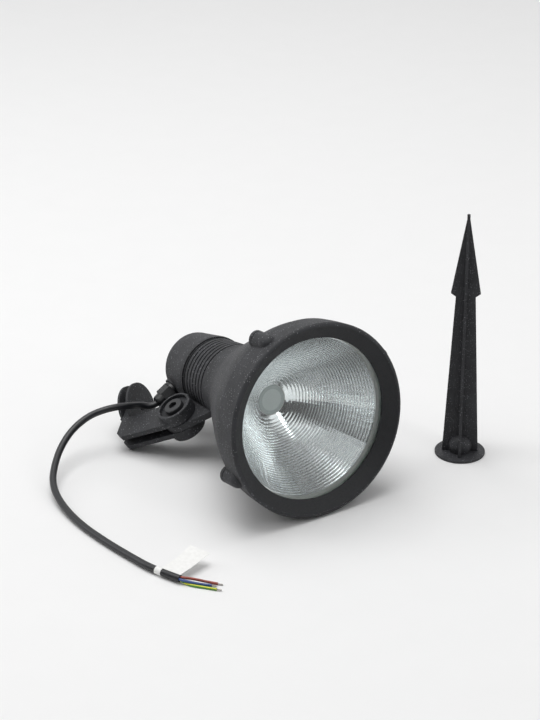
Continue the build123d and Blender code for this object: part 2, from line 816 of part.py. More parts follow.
# ---- ground spike: four fins on a flange, with a boss that holds the threaded insert
spike_base = Plane(
    origin=(spike_x, spike_y, 0),
    x_dir=(math.cos(math.radians(spike_turn)), math.sin(math.radians(spike_turn)), 0),
    z_dir=(0, 0, 1),
)
spike_axis = Axis(spike_base.origin, (0, 0, 1))
with BuildPart() as spike:
    with BuildSketch(spike_base) as flange_section:
        Circle(foot_radius)
    extrude(amount=spike_flange_thickness)
    fillet(spike.edges(), 0.6)
    for turn in range(2):
        fin_plane = Plane(
            origin=spike_base.origin,
            x_dir=(spike_base.x_dir, spike_base.y_dir)[turn],
            z_dir=(spike_base.y_dir * -1, spike_base.x_dir)[turn],
        )
        with BuildSketch(fin_plane) as fin_outline:
            with BuildLine():
                Polyline(
                    (-spike_base_half, spike_flange_thickness / 2),
                    (-spike_neck_half, barb_height - barb_drop),
                    (-barb_half, barb_height),
                    (-0.6, spike_height - 1),
                    (0.6, spike_height - 1),
                    (barb_half, barb_height),
                    (spike_neck_half, barb_height - barb_drop),
                    (spike_base_half, spike_flange_thickness / 2),
                    (-spike_base_half, spike_flange_thickness / 2),
                )
            make_face()
        extrude(amount=fin_thickness / 2, both=True)
    with BuildSketch(
        Plane(origin=spike_base.origin, x_dir=spike_base.x_dir, z_dir=spike_base.y_dir * -1)
    ) as boss_profile:
        with BuildLine():
            Polyline(
                (0, spike_flange_thickness / 2),
                (spike_boss_radius - 1.2, spike_flange_thickness / 2),
                (spike_boss_radius, spike_boss_height * 0.5),
            )
            TangentArc(
                (spike_boss_radius, spike_boss_height * 0.5),
                (0, spike_boss_height + spike_flange_thickness),
                tangent=(0, 1),
            )
            Polyline((0, spike_boss_height + spike_flange_thickness), (0, spike_flange_thickness / 2))
        make_face()
    revolve(axis=spike_axis)
    with BuildSketch(spike_base) as insert_pocket:
        RegularPolygon(insert_across_flats / 2 + 0.02, 6, major_radius=False)
    extrude(amount=insert_setback + insert_length + 0.2, mode=Mode.SUBTRACT)
spike.part.label = "spike"
export_step(spike.part, "parts/spike.step")

with BuildPart() as spike_insert:
    with BuildSketch(spike_base.offset(insert_setback)) as insert_section:
        RegularPolygon(insert_across_flats / 2, 6, major_radius=False)
        Circle(insert_thread_radius, mode=Mode.SUBTRACT)
    extrude(amount=insert_length)
spike_insert.part.label = "spike_insert"
export_step(spike_insert.part, "parts/spike_insert.step")

# ---- cord: out of the gland, over the bracket's arm, round in the air and down onto the floor
cord_turns = [
    gland.origin + gland.z_dir * cord_start,
    gland.origin + gland.z_dir * cord_first_bend,
    Vector(-160.5, 67.2, 38.3),
    Vector(-170.8, 55.6, 43.4),
    Vector(-182.2, 47.7, 46.0),
    Vector(-195.8, 42.5, 45.0),
    Vector(-210.5, 38.7, 40.0),
    Vector(-224.8, 26.7, 32.5),
    Vector(-234.6, 7.8, 24.5),
    Vector(-239.7, -17.3, 17.5),
    Vector(-240.4, -45.7, 10.5),
    Vector(-229.5, -75.8, 5.5),
    Vector(-209.0, -110.5, 3.7),
    Vector(-183.5, -142.5, 3.6),
    Vector(-157.8, -170.8, 3.7),
    Vector(-134.7, -196.1, 4.5),
    Vector(-111.4, -213.5, 4.5),
]


def bend_radii(turns):
    """One radius for each corner: 0.45 of its shorter run over the tangent of half its turn."""
    radii = []
    for before, at, after in zip(turns, turns[1:], turns[2:]):
        run_in = at - before
        run_out = after - at
        shorter = min(run_in.length, run_out.length)
        radii.append(0.45 * shorter / math.tan(math.radians(run_in.get_angle(run_out) / 2)))
    return radii


cord_radii = bend_radii(cord_turns)
with BuildPart() as cord:
    with BuildLine() as cord_line:
        FilletPolyline(*cord_turns, radius=cord_radii)
    with BuildSketch(Plane(origin=cord_turns[0], z_dir=gland.z_dir)) as cord_section:
        Circle(cord_radius)
    sweep(path=cord_line.wires()[0])
cord.part.label = "cord"
export_step(cord.part, "parts/cord.step")
cord_length = cord_line.wires()[0].length
print("cord bend radii", [round(radius, 1) for radius in cord_radii])
print("cord length", round(cord_length, 1))
print("cord volume", round(cord.part.volume), "section x length", round(math.pi * cord_radius**2 * cord_length))

# ---- the cord's bare end: three cores side by side, each with its copper strands
cord_end = cord_turns[-1]
end_dir = (cord_turns[-1] - cord_turns[-2]).normalized()
end_side = Vector(0, 0, 1).cross(end_dir)
core_tips = {
    "core_brown": Vector(-77.2, -214.6, 1.5),
    "core_blue": Vector(-82.2, -218.4, 1.5),
    "core_green_yellow": Vector(-74.8, -225.2, 1.5),
}
core_starts = {
    "core_brown": cord_end + end_side * core_offset + Vector(0, 0, -core_offset * 0.55),
    "core_blue": cord_end + Vector(0, 0, core_offset * 1.15),
    "core_green_yellow": cord_end - end_side * core_offset + Vector(0, 0, -core_offset * 0.55),
}
core_sways = {"core_brown": -0.4, "core_blue": -0.3, "core_green_yellow": -2.0}
strand_planes = []
for core_name, core_tip in core_tips.items():
    core_start = core_starts[core_name]
    core_bend = (core_start + core_tip) * 0.5 + end_side * core_sways[core_name]
    core_turns = [core_start, core_bend, core_tip]
    with BuildPart() as core:
        with BuildLine() as core_line:
            FilletPolyline(*core_turns, radius=bend_radii(core_turns))
        with BuildSketch(Plane(origin=core_start, z_dir=core_bend - core_start)) as core_section:
            Circle(core_radius)
        sweep(path=core_line.wires()[0])
        split(bisect_by=Plane(origin=cord_end + end_dir * 0.02, z_dir=end_dir), keep=Keep.TOP)
    core.part.label = core_name
    export_step(core.part, "parts/" + core_name + ".step")
    strand_planes.append(Plane(origin=core_tip, z_dir=core_tip - core_bend))

with BuildPart() as copper_ends:
    for strand_plane in strand_planes:
        with BuildSketch(strand_plane) as strand_section:
            Circle(strand_radius)
        extrude(amount=strand_length)
copper_ends.part.label = "copper_ends"
export_step(copper_ends.part, "parts/copper_ends.step")

# ---- blank tag: a sleeve round the cord with a flag that stands off it
tag_start = cord_turns[-2] + end_dir * tag_from_bend
tag_middle = tag_start + end_dir * (tag_width / 2)
tag_lean = Vector(0.887, 0.403, 0.224)
tag_plane = Plane(origin=tag_middle, x_dir=end_dir, z_dir=end_dir.cross(tag_lean))
tag_slant = tag_length * 0.47
tag_inner = cord_radius + tag_sleeve_gap
with BuildPart() as cord_tag:
    with BuildSketch(Plane(origin=tag_start, z_dir=end_dir)) as tag_sleeve:
        Circle(tag_inner + tag_sleeve_wall)
        Circle(tag_inner, mode=Mode.SUBTRACT)
    extrude(amount=tag_width)
    with BuildSketch(tag_plane) as tag_flag:
        with BuildLine():
            Polyline(
                (-tag_width / 2, tag_inner + 0.1),
                (tag_width / 2, tag_inner + 0.1),
                (tag_width / 2 + tag_slant, tag_length * 0.88),
                (-tag_width / 2 + tag_slant, tag_length * 0.88),
                (-tag_width / 2, tag_inner + 0.1),
            )
        make_face()
    extrude(amount=tag_thickness / 2, both=True)
cord_tag.part.label = "cord_tag"
export_step(cord_tag.part, "parts/cord_tag.step")

# ---- what the drawing needs to be read by: the hinge and the foot
print("hinge point", [round(c, 4) for c in tuple(hinge_point)])
print("hinge direction", [round(c, 6) for c in tuple(pivot_dir)])
print("aim", [round(c, 6) for c in tuple(aim)])
print("arm direction", [round(c, 6) for c in tuple(arm_dir)])
foot_middle = foot_plane.origin + arm_dir * (foot_outer_face - foot_inner_face) / 2
print("foot middle", [round(c, 4) for c in tuple(foot_middle)])
print("gland mouth", [round(c, 4) for c in tuple((gland.origin + gland.z_dir * mouth))])
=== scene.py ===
import math

import bmesh
import bpy
from mathutils import Matrix, Vector


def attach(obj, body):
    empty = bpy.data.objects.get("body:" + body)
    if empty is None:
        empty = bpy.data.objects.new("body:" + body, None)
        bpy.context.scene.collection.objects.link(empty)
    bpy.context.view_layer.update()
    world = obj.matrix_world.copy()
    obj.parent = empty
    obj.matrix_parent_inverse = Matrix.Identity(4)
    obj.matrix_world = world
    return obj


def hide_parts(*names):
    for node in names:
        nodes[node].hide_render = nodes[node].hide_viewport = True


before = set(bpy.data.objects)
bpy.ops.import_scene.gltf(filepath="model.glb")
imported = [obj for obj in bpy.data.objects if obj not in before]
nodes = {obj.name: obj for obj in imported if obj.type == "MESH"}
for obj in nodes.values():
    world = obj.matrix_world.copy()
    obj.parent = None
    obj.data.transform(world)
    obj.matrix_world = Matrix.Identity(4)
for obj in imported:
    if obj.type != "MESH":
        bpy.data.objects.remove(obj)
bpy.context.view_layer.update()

scene = bpy.context.scene
print("frame:", len(nodes), "nodes")


# small helpers

def linear(hexColour):
    channels = [int(hexColour[i : i + 2], 16) / 255 for i in (0, 2, 4)]
    return (*(c / 12.92 if c <= 0.04045 else ((c + 0.055) / 1.055) ** 2.4 for c in channels), 1.0)


def addNode(tree, kind, settings=None, links=None):
    # settings that are the node's own go first, because they decide which sockets there are
    node = tree.nodes.new(kind)
    for key, value in (settings or {}).items():
        if isinstance(key, str) and key not in node.inputs:
            setattr(node, key, value)
    for key, value in (settings or {}).items():
        if not isinstance(key, str) or key in node.inputs:
            node.inputs[key].default_value = value
    for key, source in (links or {}).items():
        tree.links.new(source, node.inputs[key])
    return node


def pieceFrom(name, mesh, material=None):
    piece = bpy.data.objects.new(name, mesh)
    scene.collection.objects.link(piece)
    if material:
        mesh.materials.clear()
        mesh.materials.append(material)
    return piece


# the head's own frame: x along the hinge, y towards the bracket, z along the aim

headPlace = Vector((0.0156, -0.0793, 0.095869))
headAim = Vector((0.5372081, -0.8303974, 0.1478094))
hingeDirection = Vector((-0.4869389, -0.1622506, 0.8582338))
hingePlace = Vector((-0.1178184, 0.0342737, 0.0416423))
headFrame = Matrix.Translation(headPlace) @ Matrix(
    (hingeDirection, headAim.cross(hingeDirection), headAim)
).transposed().to_4x4()
hingeFrame = Matrix.Translation(hingePlace) @ headFrame.to_3x3().to_4x4()


# camera, read from the photograph

cameraView = {
    "place": (-0.0303, -2.0440, 1.1226),
    "target": (-0.0303, -0.0540, 0.1476),
    "height": 17.27,  # degrees from the picture's bottom to its top
}
lens = bpy.data.cameras.new("photoCamera")
lens.sensor_fit = "VERTICAL"
lens.sensor_height = 24
lens.lens = 12 / math.tan(math.radians(cameraView["height"] / 2))
camera = bpy.data.objects.new("photoCamera", lens)
camera.location = cameraView["place"]
camera.rotation_euler = (
    (Vector(cameraView["target"]) - Vector(cameraView["place"])).to_track_quat("-Z", "Y").to_euler()
)
scene.collection.objects.link(camera)
scene.camera = camera
scene.view_settings.view_transform = "Standard"
print("camera set")


# cord: one smooth line through the drawing's route, bare at its far end

flex = {
    "radius": 0.00345,
    "gland": (-0.14323, 0.07236, 0.03676),  # mouth of the gland, where the cord comes out
    "length": 0.400,
    "route": (
        (-0.13669, 0.07742, 0.04143),
        (-0.14667, 0.06970, 0.03430),
        (-0.1605, 0.0672, 0.0383),
        (-0.1708, 0.0556, 0.0434),
        (-0.1822, 0.0477, 0.0460),
        (-0.1958, 0.0425, 0.0450),
        (-0.2105, 0.0387, 0.0400),
        (-0.2248, 0.0267, 0.0325),
        (-0.2346, 0.0078, 0.0245),
        (-0.2397, -0.0173, 0.0175),
        (-0.2404, -0.0457, 0.0105),
        (-0.2295, -0.0758, 0.0055),
        (-0.2090, -0.1105, 0.0037),
        (-0.1835, -0.1425, 0.0036),
        (-0.1578, -0.1708, 0.0037),
        (-0.1347, -0.1952, 0.0045),
        (-0.1113, -0.2108, 0.0046),
    ),
}
cordCurve = bpy.data.curves.new("flexCord", "CURVE")
cordCurve.dimensions = "3D"
cordCurve.bevel_depth = flex["radius"]
cordCurve.bevel_resolution = 7
cordCurve.resolution_u = 12
cordCurve.use_fill_caps = True
cordLine = cordCurve.splines.new("NURBS")
cordLine.points.add(len(flex["route"]) - 1)
for point, place in zip(cordLine.points, flex["route"]):
    point.co = (*place, 1)
cordLine.order_u = 3
cordLine.use_endpoint_u = True
flexCord = bpy.data.objects.new("flexCord", cordCurve)
scene.collection.objects.link(flexCord)
print("cord drawn:", len(flex["route"]), "points")


# materials

def startMaterial(name):
    material = bpy.data.materials.new(name)
    material.use_nodes = True
    tree = material.node_tree
    return material, tree, tree.nodes["Principled BSDF"]


def placeIn(tree, space):
    # object coordinates brought into the head's or the hinge's frame, then split into x, y and z, with the
    # distance from the axis
    coordinates = addNode(tree, "ShaderNodeTexCoord")
    inverse = space.inverted()
    mapping = addNode(
        tree,
        "ShaderNodeMapping",
        {"Location": inverse.translation, "Rotation": inverse.to_euler()},
        {"Vector": coordinates.outputs["Object"]},
    )
    parts = addNode(tree, "ShaderNodeSeparateXYZ", links={0: mapping.outputs[0]})
    flat = addNode(tree, "ShaderNodeCombineXYZ", links={0: parts.outputs[0], 1: parts.outputs[1]})
    distance = addNode(tree, "ShaderNodeVectorMath", {"operation": "LENGTH"}, {0: flat.outputs[0]})
    return mapping.outputs[0], parts.outputs, distance.outputs["Value"]


# Polyester powder coat with a sandy texture on die-cast aluminium: matt charcoal and small humps, with painted shade in
# the hollows, painted light on the hump tops, and pale painted glint specks where a hump would catch the light.
# The real humps are about 0.4 mm; they are drawn at 1 mm and more to show.
sandyCoat = {
    "hollowShade": "1a1b1e",
    "humpLight": "303135",
    "glintSpeck": "8f9094",
    "humpSize": 1.3,
    "cloudSize": 18.0,
    "speckSpacing": 1.7,
    "speckShare": 0.5,
    "roughness": (0.56, 0.74),
    "bump": 0.7,
}


def powderCoat(name, look, bezel=None):
    material, tree, shader = startMaterial(name)
    place = addNode(tree, "ShaderNodeTexCoord").outputs["Object"]
    humps = addNode(
        tree,
        "ShaderNodeTexNoise",
        {"Scale": 1000 / look["humpSize"], "Detail": 3.0, "Roughness": 0.6},
        {"Vector": place},
    ).outputs["Fac"]
    clouds = addNode(
        tree, "ShaderNodeTexNoise", {"Scale": 1000 / look["cloudSize"], "Detail": 1.0}, {"Vector": place}
    ).outputs["Fac"]
    # pale specks: a painted glint where a hump would catch the light
    cells = addNode(tree, "ShaderNodeTexVoronoi", {"Scale": 1000 / look["speckSpacing"]}, {"Vector": place})
    near = addNode(
        tree,
        "ShaderNodeMapRange",
        {"From Min": 0.18, "From Max": 0.30, "To Min": 1.0, "To Max": 0.0},
        {"Value": cells.outputs["Distance"]},
    ).outputs["Result"]
    chosen = addNode(tree, "ShaderNodeSeparateColor", links={0: cells.outputs["Color"]})
    picked = addNode(tree, "ShaderNodeMath", {"operation": "LESS_THAN", 1: look["speckShare"]}, {0: chosen.outputs[0]})
    strength = addNode(tree, "ShaderNodeMath", {"operation": "MULTIPLY"}, {0: near, 1: picked.outputs[0]})
    glintSpecks = addNode(tree, "ShaderNodeMath", {"operation": "MULTIPLY"}, {0: strength.outputs[0], 1: chosen.outputs[1]})
    # the colour follows the humps' height: painted shade in the hollows and painted light on the hump tops, mixed with
    # a random cloudy tone
    mixed = addNode(tree, "ShaderNodeMath", {"operation": "MULTIPLY_ADD", 1: 0.7}, {0: humps})
    tree.links.new(
        addNode(
            tree, "ShaderNodeMapRange", {"From Min": 0.3, "From Max": 0.7, "To Max": 0.3}, {"Value": clouds}
        ).outputs["Result"],
        mixed.inputs[2],
    )
    colour = addNode(
        tree,
        "ShaderNodeMix",
        {"data_type": "RGBA", 6: linear(look["hollowShade"]), 7: linear(look["humpLight"])},
        {
            0: addNode(
                tree, "ShaderNodeMapRange", {"From Min": 0.25, "From Max": 0.85}, {"Value": mixed.outputs[0]}
            ).outputs["Result"],
        },
    ).outputs[2]
    # the painted glint specks laid over the coat
    colour = addNode(
        tree, "ShaderNodeMix", {"data_type": "RGBA", 7: linear(look["glintSpeck"])}, {0: glintSpecks.outputs[0], 6: colour}
    ).outputs[2]
    height = humps
    if bezel:
        # the slope inside the ring's crest is darker and finer, with its own painted shade in the hollows and painted
        # light on the humps
        distance = placeIn(tree, headFrame)[2]
        inside = addNode(
            tree,
            "ShaderNodeMapRange",
            {"From Min": bezel["crest"] - 0.0012, "From Max": bezel["crest"], "To Min": 1.0, "To Max": 0.0},
            {"Value": distance},
        ).outputs["Result"]
        colour = addNode(
            tree,
            "ShaderNodeMix",
            {"data_type": "RGBA"},
            {
                0: inside,
                6: colour,
                7: addNode(
                    tree,
                    "ShaderNodeMix",
                    {"data_type": "RGBA", 6: linear(bezel["hollowShade"]), 7: linear(bezel["humpLight"])},
                    {0: humps},
                ).outputs[2],
            },
        ).outputs[2]
        keep = addNode(tree, "ShaderNodeMapRange", {"To Min": 1.0, "To Max": 0.35}, {"Value": inside}).outputs["Result"]
        height = addNode(tree, "ShaderNodeMath", {"operation": "MULTIPLY"}, {0: humps, 1: keep}).outputs[0]
    tree.links.new(colour, shader.inputs["Base Color"])
    tree.links.new(
        addNode(
            tree,
            "ShaderNodeMapRange",
            {"From Min": 0.3, "From Max": 0.7, "To Min": look["roughness"][0], "To Max": look["roughness"][1]},
            {"Value": humps},
        ).outputs["Result"],
        shader.inputs["Roughness"],
    )
    tree.links.new(
        addNode(
            tree, "ShaderNodeBump", {"Strength": look["bump"], "Distance": 0.5 / 1000}, {"Height": height}
        ).outputs[0],
        shader.inputs["Normal"],
    )
    return material


# Injection-moulded plastic: an even skin with a faint flow pattern and very fine eroded grain.
def mouldedPlastic(name, base, shade, roughness, grain=0.6, bump=0.15, flow=9.0):
    material, tree, shader = startMaterial(name)
    place = addNode(tree, "ShaderNodeTexCoord").outputs["Object"]
    fine = addNode(tree, "ShaderNodeTexNoise", {"Scale": 1000 / grain}, {"Vector": place}).outputs["Fac"]
    wide = addNode(tree, "ShaderNodeTexNoise", {"Scale": 1000 / flow, "Detail": 1.0}, {"Vector": place}).outputs["Fac"]
    tree.links.new(
        addNode(
            tree,
            "ShaderNodeMix",
            {"data_type": "RGBA", 6: linear(shade), 7: linear(base)},
            {
                0: addNode(
                    tree, "ShaderNodeMapRange", {"From Min": 0.3, "From Max": 0.7}, {"Value": wide}
                ).outputs["Result"],
            },
        ).outputs[2],
        shader.inputs["Base Color"],
    )
    tree.links.new(
        addNode(
            tree,
            "ShaderNodeMapRange",
            {"From Min": 0.3, "From Max": 0.7, "To Min": roughness - 0.05, "To Max": roughness + 0.07},
            {"Value": fine},
        ).outputs["Result"],
        shader.inputs["Roughness"],
    )
    shader.inputs["IOR"].default_value = 1.5
    tree.links.new(
        addNode(tree, "ShaderNodeBump", {"Strength": bump, "Distance": 0.08 / 1000}, {"Height": fine}).outputs[0],
        shader.inputs["Normal"],
    )
    return material


# Rolled, plated or machined metal: fine parallel marks, drawn 0.25 mm apart, that streak the gloss.
def workedMetal(name, base, shade, roughness, marks=0.25, along=(1, 1, 0.06), space=None):
    material, tree, shader = startMaterial(name)
    if space is None:
        source = addNode(tree, "ShaderNodeTexCoord").outputs["Object"]
    else:
        source = placeIn(tree, space)[0]
    stretched = addNode(tree, "ShaderNodeMapping", {"Scale": along}, {"Vector": source})
    lines = addNode(
        tree,
        "ShaderNodeTexNoise",
        {"Scale": 1000 / marks, "Detail": 3.0, "Roughness": 0.6},
        {"Vector": stretched.outputs[0]},
    ).outputs["Fac"]
    stains = addNode(
        tree,
        "ShaderNodeTexNoise",
        {"Scale": 1000 / 6.0},
        {"Vector": addNode(tree, "ShaderNodeTexCoord").outputs["Object"]},
    ).outputs["Fac"]
    tree.links.new(
        addNode(
            tree,
            "ShaderNodeMix",
            {"data_type": "RGBA", 6: linear(shade), 7: linear(base)},
            {
                0: addNode(
                    tree, "ShaderNodeMapRange", {"From Min": 0.3, "From Max": 0.7}, {"Value": stains}
                ).outputs["Result"],
            },
        ).outputs[2],
        shader.inputs["Base Color"],
    )
    tree.links.new(
        addNode(
            tree,
            "ShaderNodeMapRange",
            {"From Min": 0.3, "From Max": 0.7, "To Min": roughness - 0.07, "To Max": roughness + 0.1},
            {"Value": lines},
        ).outputs["Result"],
        shader.inputs["Roughness"],
    )
    shader.inputs["Metallic"].default_value = 1.0
    tree.links.new(
        addNode(tree, "ShaderNodeBump", {"Strength": 0.12, "Distance": 0.04 / 1000}, {"Height": lines}).outputs[0],
        shader.inputs["Normal"],
    )
    return material


# Extruded or moulded rubber: satin, a little dusty, with a soft orange-peel skin.
def softRubber(name, base, dust, roughness, peel=1.6, bump=0.2):
    material, tree, shader = startMaterial(name)
    place = addNode(tree, "ShaderNodeTexCoord").outputs["Object"]
    skin = addNode(tree, "ShaderNodeTexNoise", {"Scale": 1000 / peel}, {"Vector": place}).outputs["Fac"]
    patches = addNode(
        tree, "ShaderNodeTexNoise", {"Scale": 1000 / 22.0, "Detail": 3.0, "Roughness": 0.6}, {"Vector": place}
    ).outputs["Fac"]
    tree.links.new(
        addNode(
            tree,
            "ShaderNodeMix",
            {"data_type": "RGBA", 6: linear(base), 7: linear(dust)},
            {
                0: addNode(
                    tree, "ShaderNodeMapRange", {"From Min": 0.45, "From Max": 0.75}, {"Value": patches}
                ).outputs["Result"],
            },
        ).outputs[2],
        shader.inputs["Base Color"],
    )
    tree.links.new(
        addNode(
            tree,
            "ShaderNodeMapRange",
            {"From Min": 0.3, "From Max": 0.7, "To Min": roughness - 0.06, "To Max": roughness + 0.08},
            {"Value": skin},
        ).outputs["Result"],
        shader.inputs["Roughness"],
    )
    tree.links.new(
        addNode(tree, "ShaderNodeBump", {"Strength": bump, "Distance": 0.15 / 1000}, {"Height": skin}).outputs[0],
        shader.inputs["Normal"],
    )
    return material


# Vacuum-metallised bowl: aluminium vapour on a lacquered pressing, close to a mirror, with a faint haze in it.
def metallised(name):
    material, tree, shader = startMaterial(name)
    haze = addNode(
        tree,
        "ShaderNodeTexNoise",
        {"Scale": 1000 / 5.0},
        {"Vector": addNode(tree, "ShaderNodeTexCoord").outputs["Object"]},
    ).outputs["Fac"]
    distance = placeIn(tree, headFrame)[2]
    # the flange was masked and stays pale and matt
    flange = addNode(
        tree, "ShaderNodeMapRange", {"From Min": 0.0774, "From Max": 0.0776}, {"Value": distance}
    ).outputs["Result"]
    mirror = addNode(
        tree,
        "ShaderNodeMix",
        {"data_type": "RGBA", 6: linear("e4e9ea"), 7: linear("f5f8f8")},
        {0: addNode(tree, "ShaderNodeMapRange", {"From Min": 0.3, "From Max": 0.7}, {"Value": haze}).outputs["Result"]},
    ).outputs[2]
    tree.links.new(
        addNode(tree, "ShaderNodeMix", {"data_type": "RGBA", 7: linear("f6f8f4")}, {0: flange, 6: mirror}).outputs[2],
        shader.inputs["Base Color"],
    )
    spread = addNode(
        tree, "ShaderNodeMapRange", {"From Min": 0.3, "From Max": 0.7, "To Min": 0.03, "To Max": 0.07}, {"Value": haze}
    ).outputs["Result"]
    tree.links.new(
        addNode(tree, "ShaderNodeMath", {"operation": "MULTIPLY_ADD", 1: 0.5}, {0: flange, 2: spread}).outputs[0],
        shader.inputs["Roughness"],
    )
    tree.links.new(
        addNode(tree, "ShaderNodeMapRange", {"To Min": 1.0, "To Max": 0.0}, {"Value": flange}).outputs["Result"],
        shader.inputs["Metallic"],
    )
    return material


# Toughened soda-lime glass, 4 mm: clear from the front, greener towards the edge, where one looks through more of it.
def clearGlass(name):
    material, tree, shader = startMaterial(name)
    tree.nodes.remove(shader)
    distance = placeIn(tree, headFrame)[2]
    edge = addNode(
        tree, "ShaderNodeMapRange", {"From Min": 0.0795, "From Max": 0.0862}, {"Value": distance}
    ).outputs["Result"]
    through = addNode(
        tree,
        "ShaderNodeBsdfTransparent",
        links={
            0: addNode(
                tree, "ShaderNodeMix", {"data_type": "RGBA", 6: linear("feffff"), 7: linear("cfdedb")}, {0: edge}
            ).outputs[2],
        },
    )
    smears = addNode(
        tree,
        "ShaderNodeMapRange",
        {"From Min": 0.3, "From Max": 0.7, "To Max": 0.03},
        {
            "Value": addNode(
                tree,
                "ShaderNodeTexNoise",
                {"Scale": 1000 / 30.0},
                {"Vector": addNode(tree, "ShaderNodeTexCoord").outputs["Object"]},
            ).outputs["Fac"],
        },
    ).outputs["Result"]
    gloss = addNode(tree, "ShaderNodeBsdfGlossy", {0: (1, 1, 1, 1)}, {"Roughness": smears})
    fresnel = addNode(tree, "ShaderNodeFresnel", {"IOR": 1.45})
    share = addNode(tree, "ShaderNodeMath", {"operation": "MULTIPLY", 1: 0.8}, {0: fresnel.outputs[0]})
    both = addNode(tree, "ShaderNodeMixShader", links={0: share.outputs[0], 1: through.outputs[0], 2: gloss.outputs[0]})
    tree.links.new(both.outputs[0], tree.nodes["Material Output"].inputs["Surface"])
    return material


# Silicone over the chips: grey-yellow when unlit, with a fine grain of phosphor and a paler rim.
def phosphorDisc(name):
    material, tree, shader = startMaterial(name)
    place, parts, distance = placeIn(tree, headFrame)
    grain = addNode(tree, "ShaderNodeTexNoise", {"Scale": 1000 / 0.5}, {"Vector": place}).outputs["Fac"]
    face = addNode(
        tree, "ShaderNodeMix", {"data_type": "RGBA", 6: linear("b4bfbd"), 7: linear("c6cfcc")}, {0: grain}
    ).outputs[2]
    colour = addNode(
        tree,
        "ShaderNodeMix",
        {"data_type": "RGBA", 7: linear("a3afad")},
        {
            0: addNode(
                tree, "ShaderNodeMapRange", {"From Min": 0.0105, "From Max": 0.0110}, {"Value": distance}
            ).outputs["Result"],
            6: face,
        },
    ).outputs[2]
    tree.links.new(colour, shader.inputs["Base Color"])
    shader.inputs["Roughness"].default_value = 0.34
    tree.links.new(
        addNode(tree, "ShaderNodeBump", {"Strength": 0.2, "Distance": 0.05 / 1000}, {"Height": grain}).outputs[0],
        shader.inputs["Normal"],
    )
    return material


# Black-oxide bolt head: dark and dry, with a painted highlight in patches, near white, inside the hexagon socket.
def oxideBolt(name, look):
    material, tree, shader = startMaterial(name)
    place, parts, distance = placeIn(tree, hingeFrame)
    grain = addNode(
        tree, "ShaderNodeTexNoise", {"Scale": 1000 / 0.8, "Detail": 3.0, "Roughness": 0.6}, {"Vector": place}
    ).outputs["Fac"]
    # painted highlight: near white inside the hexagon socket, in patches, standing for a reflection deep in the socket;
    # it also raises the metallic value
    socketHighlight = addNode(
        tree,
        "ShaderNodeMapRange",
        {"From Min": look["keyRadius"] - 0.0006, "From Max": look["keyRadius"], "To Min": 1.0, "To Max": 0.0},
        {"Value": distance},
    ).outputs["Result"]
    highlightPatches = addNode(
        tree,
        "ShaderNodeMath",
        {"operation": "MULTIPLY"},
        {
            0: socketHighlight,
            1: addNode(
                tree,
                "ShaderNodeMapRange",
                {"From Min": look["socketHighlight"][0], "From Max": look["socketHighlight"][1], "To Min": 0.1},
                {
                    "Value": addNode(
                        tree, "ShaderNodeTexNoise", {"Scale": 1000 / 4.0, "Detail": 1.0}, {"Vector": place}
                    ).outputs["Fac"],
                },
            ).outputs["Result"],
        },
    )
    colour = addNode(
        tree,
        "ShaderNodeMix",
        {"data_type": "RGBA", 7: linear("f0f0f0")},
        {
            0: highlightPatches.outputs[0],
            6: addNode(
                tree, "ShaderNodeMix", {"data_type": "RGBA", 6: linear("1c1d1f"), 7: linear("303134")}, {0: grain}
            ).outputs[2],
        },
    ).outputs[2]
    tree.links.new(colour, shader.inputs["Base Color"])
    tree.links.new(
        addNode(
            tree, "ShaderNodeMapRange", {"To Min": 0.1, "To Max": 0.4}, {"Value": highlightPatches.outputs[0]}
        ).outputs["Result"],
        shader.inputs["Metallic"],
    )
    tree.links.new(
        addNode(
            tree,
            "ShaderNodeMapRange",
            {"From Min": 0.3, "From Max": 0.7, "To Min": 0.42, "To Max": 0.6},
            {"Value": grain},
        ).outputs["Result"],
        shader.inputs["Roughness"],
    )
    tree.links.new(
        addNode(tree, "ShaderNodeBump", {"Strength": 0.3, "Distance": 0.1 / 1000}, {"Height": grain}).outputs[0],
        shader.inputs["Normal"],
    )
    return material


# Earth core: green with a yellow stripe along it, extruded in one go.
def stripedCore(name):
    material, tree, shader = startMaterial(name)
    coordinates = addNode(tree, "ShaderNodeTexCoord")
    turned = addNode(
        tree,
        "ShaderNodeMapping",
        {"Rotation": (0.0, 0.0, math.radians(18.0))},
        {"Vector": coordinates.outputs["Object"]},
    )
    parts = addNode(tree, "ShaderNodeSeparateXYZ", links={0: turned.outputs[0]})
    stripe = addNode(
        tree, "ShaderNodeMath", {"operation": "MULTIPLY_ADD", 1: 0.55}, {0: parts.outputs[2], 2: parts.outputs[1]}
    )
    scaled = addNode(tree, "ShaderNodeMath", {"operation": "MULTIPLY", 1: 2600.0}, {0: stripe.outputs[0]})
    wave = addNode(tree, "ShaderNodeMath", {"operation": "SINE"}, {0: scaled.outputs[0]})
    share = addNode(
        tree, "ShaderNodeMapRange", {"From Min": -0.15, "From Max": 0.15}, {"Value": wave.outputs[0]}
    ).outputs["Result"]
    tree.links.new(
        addNode(
            tree, "ShaderNodeMix", {"data_type": "RGBA", 6: linear("5f9a3c"), 7: linear("dcd93a")}, {0: share}
        ).outputs[2],
        shader.inputs["Base Color"],
    )
    tree.links.new(
        addNode(
            tree,
            "ShaderNodeMapRange",
            {"From Min": 0.3, "From Max": 0.7, "To Min": 0.3, "To Max": 0.42},
            {
                "Value": addNode(
                    tree,
                    "ShaderNodeTexNoise",
                    {"Scale": 1000 / 0.8},
                    {"Vector": addNode(tree, "ShaderNodeTexCoord").outputs["Object"]},
                ).outputs["Fac"],
            },
        ).outputs["Result"],
        shader.inputs["Roughness"],
    )
    return material


# the spike's coat, with the same painted shade in the hollows, painted light on the humps and painted glint specks
spikeCoat = dict(
    sandyCoat, hollowShade="1c1d20", humpLight="35363a", glintSpeck="8a8b90", humpSize=1.1, speckSpacing=1.5, speckShare=0.6
)
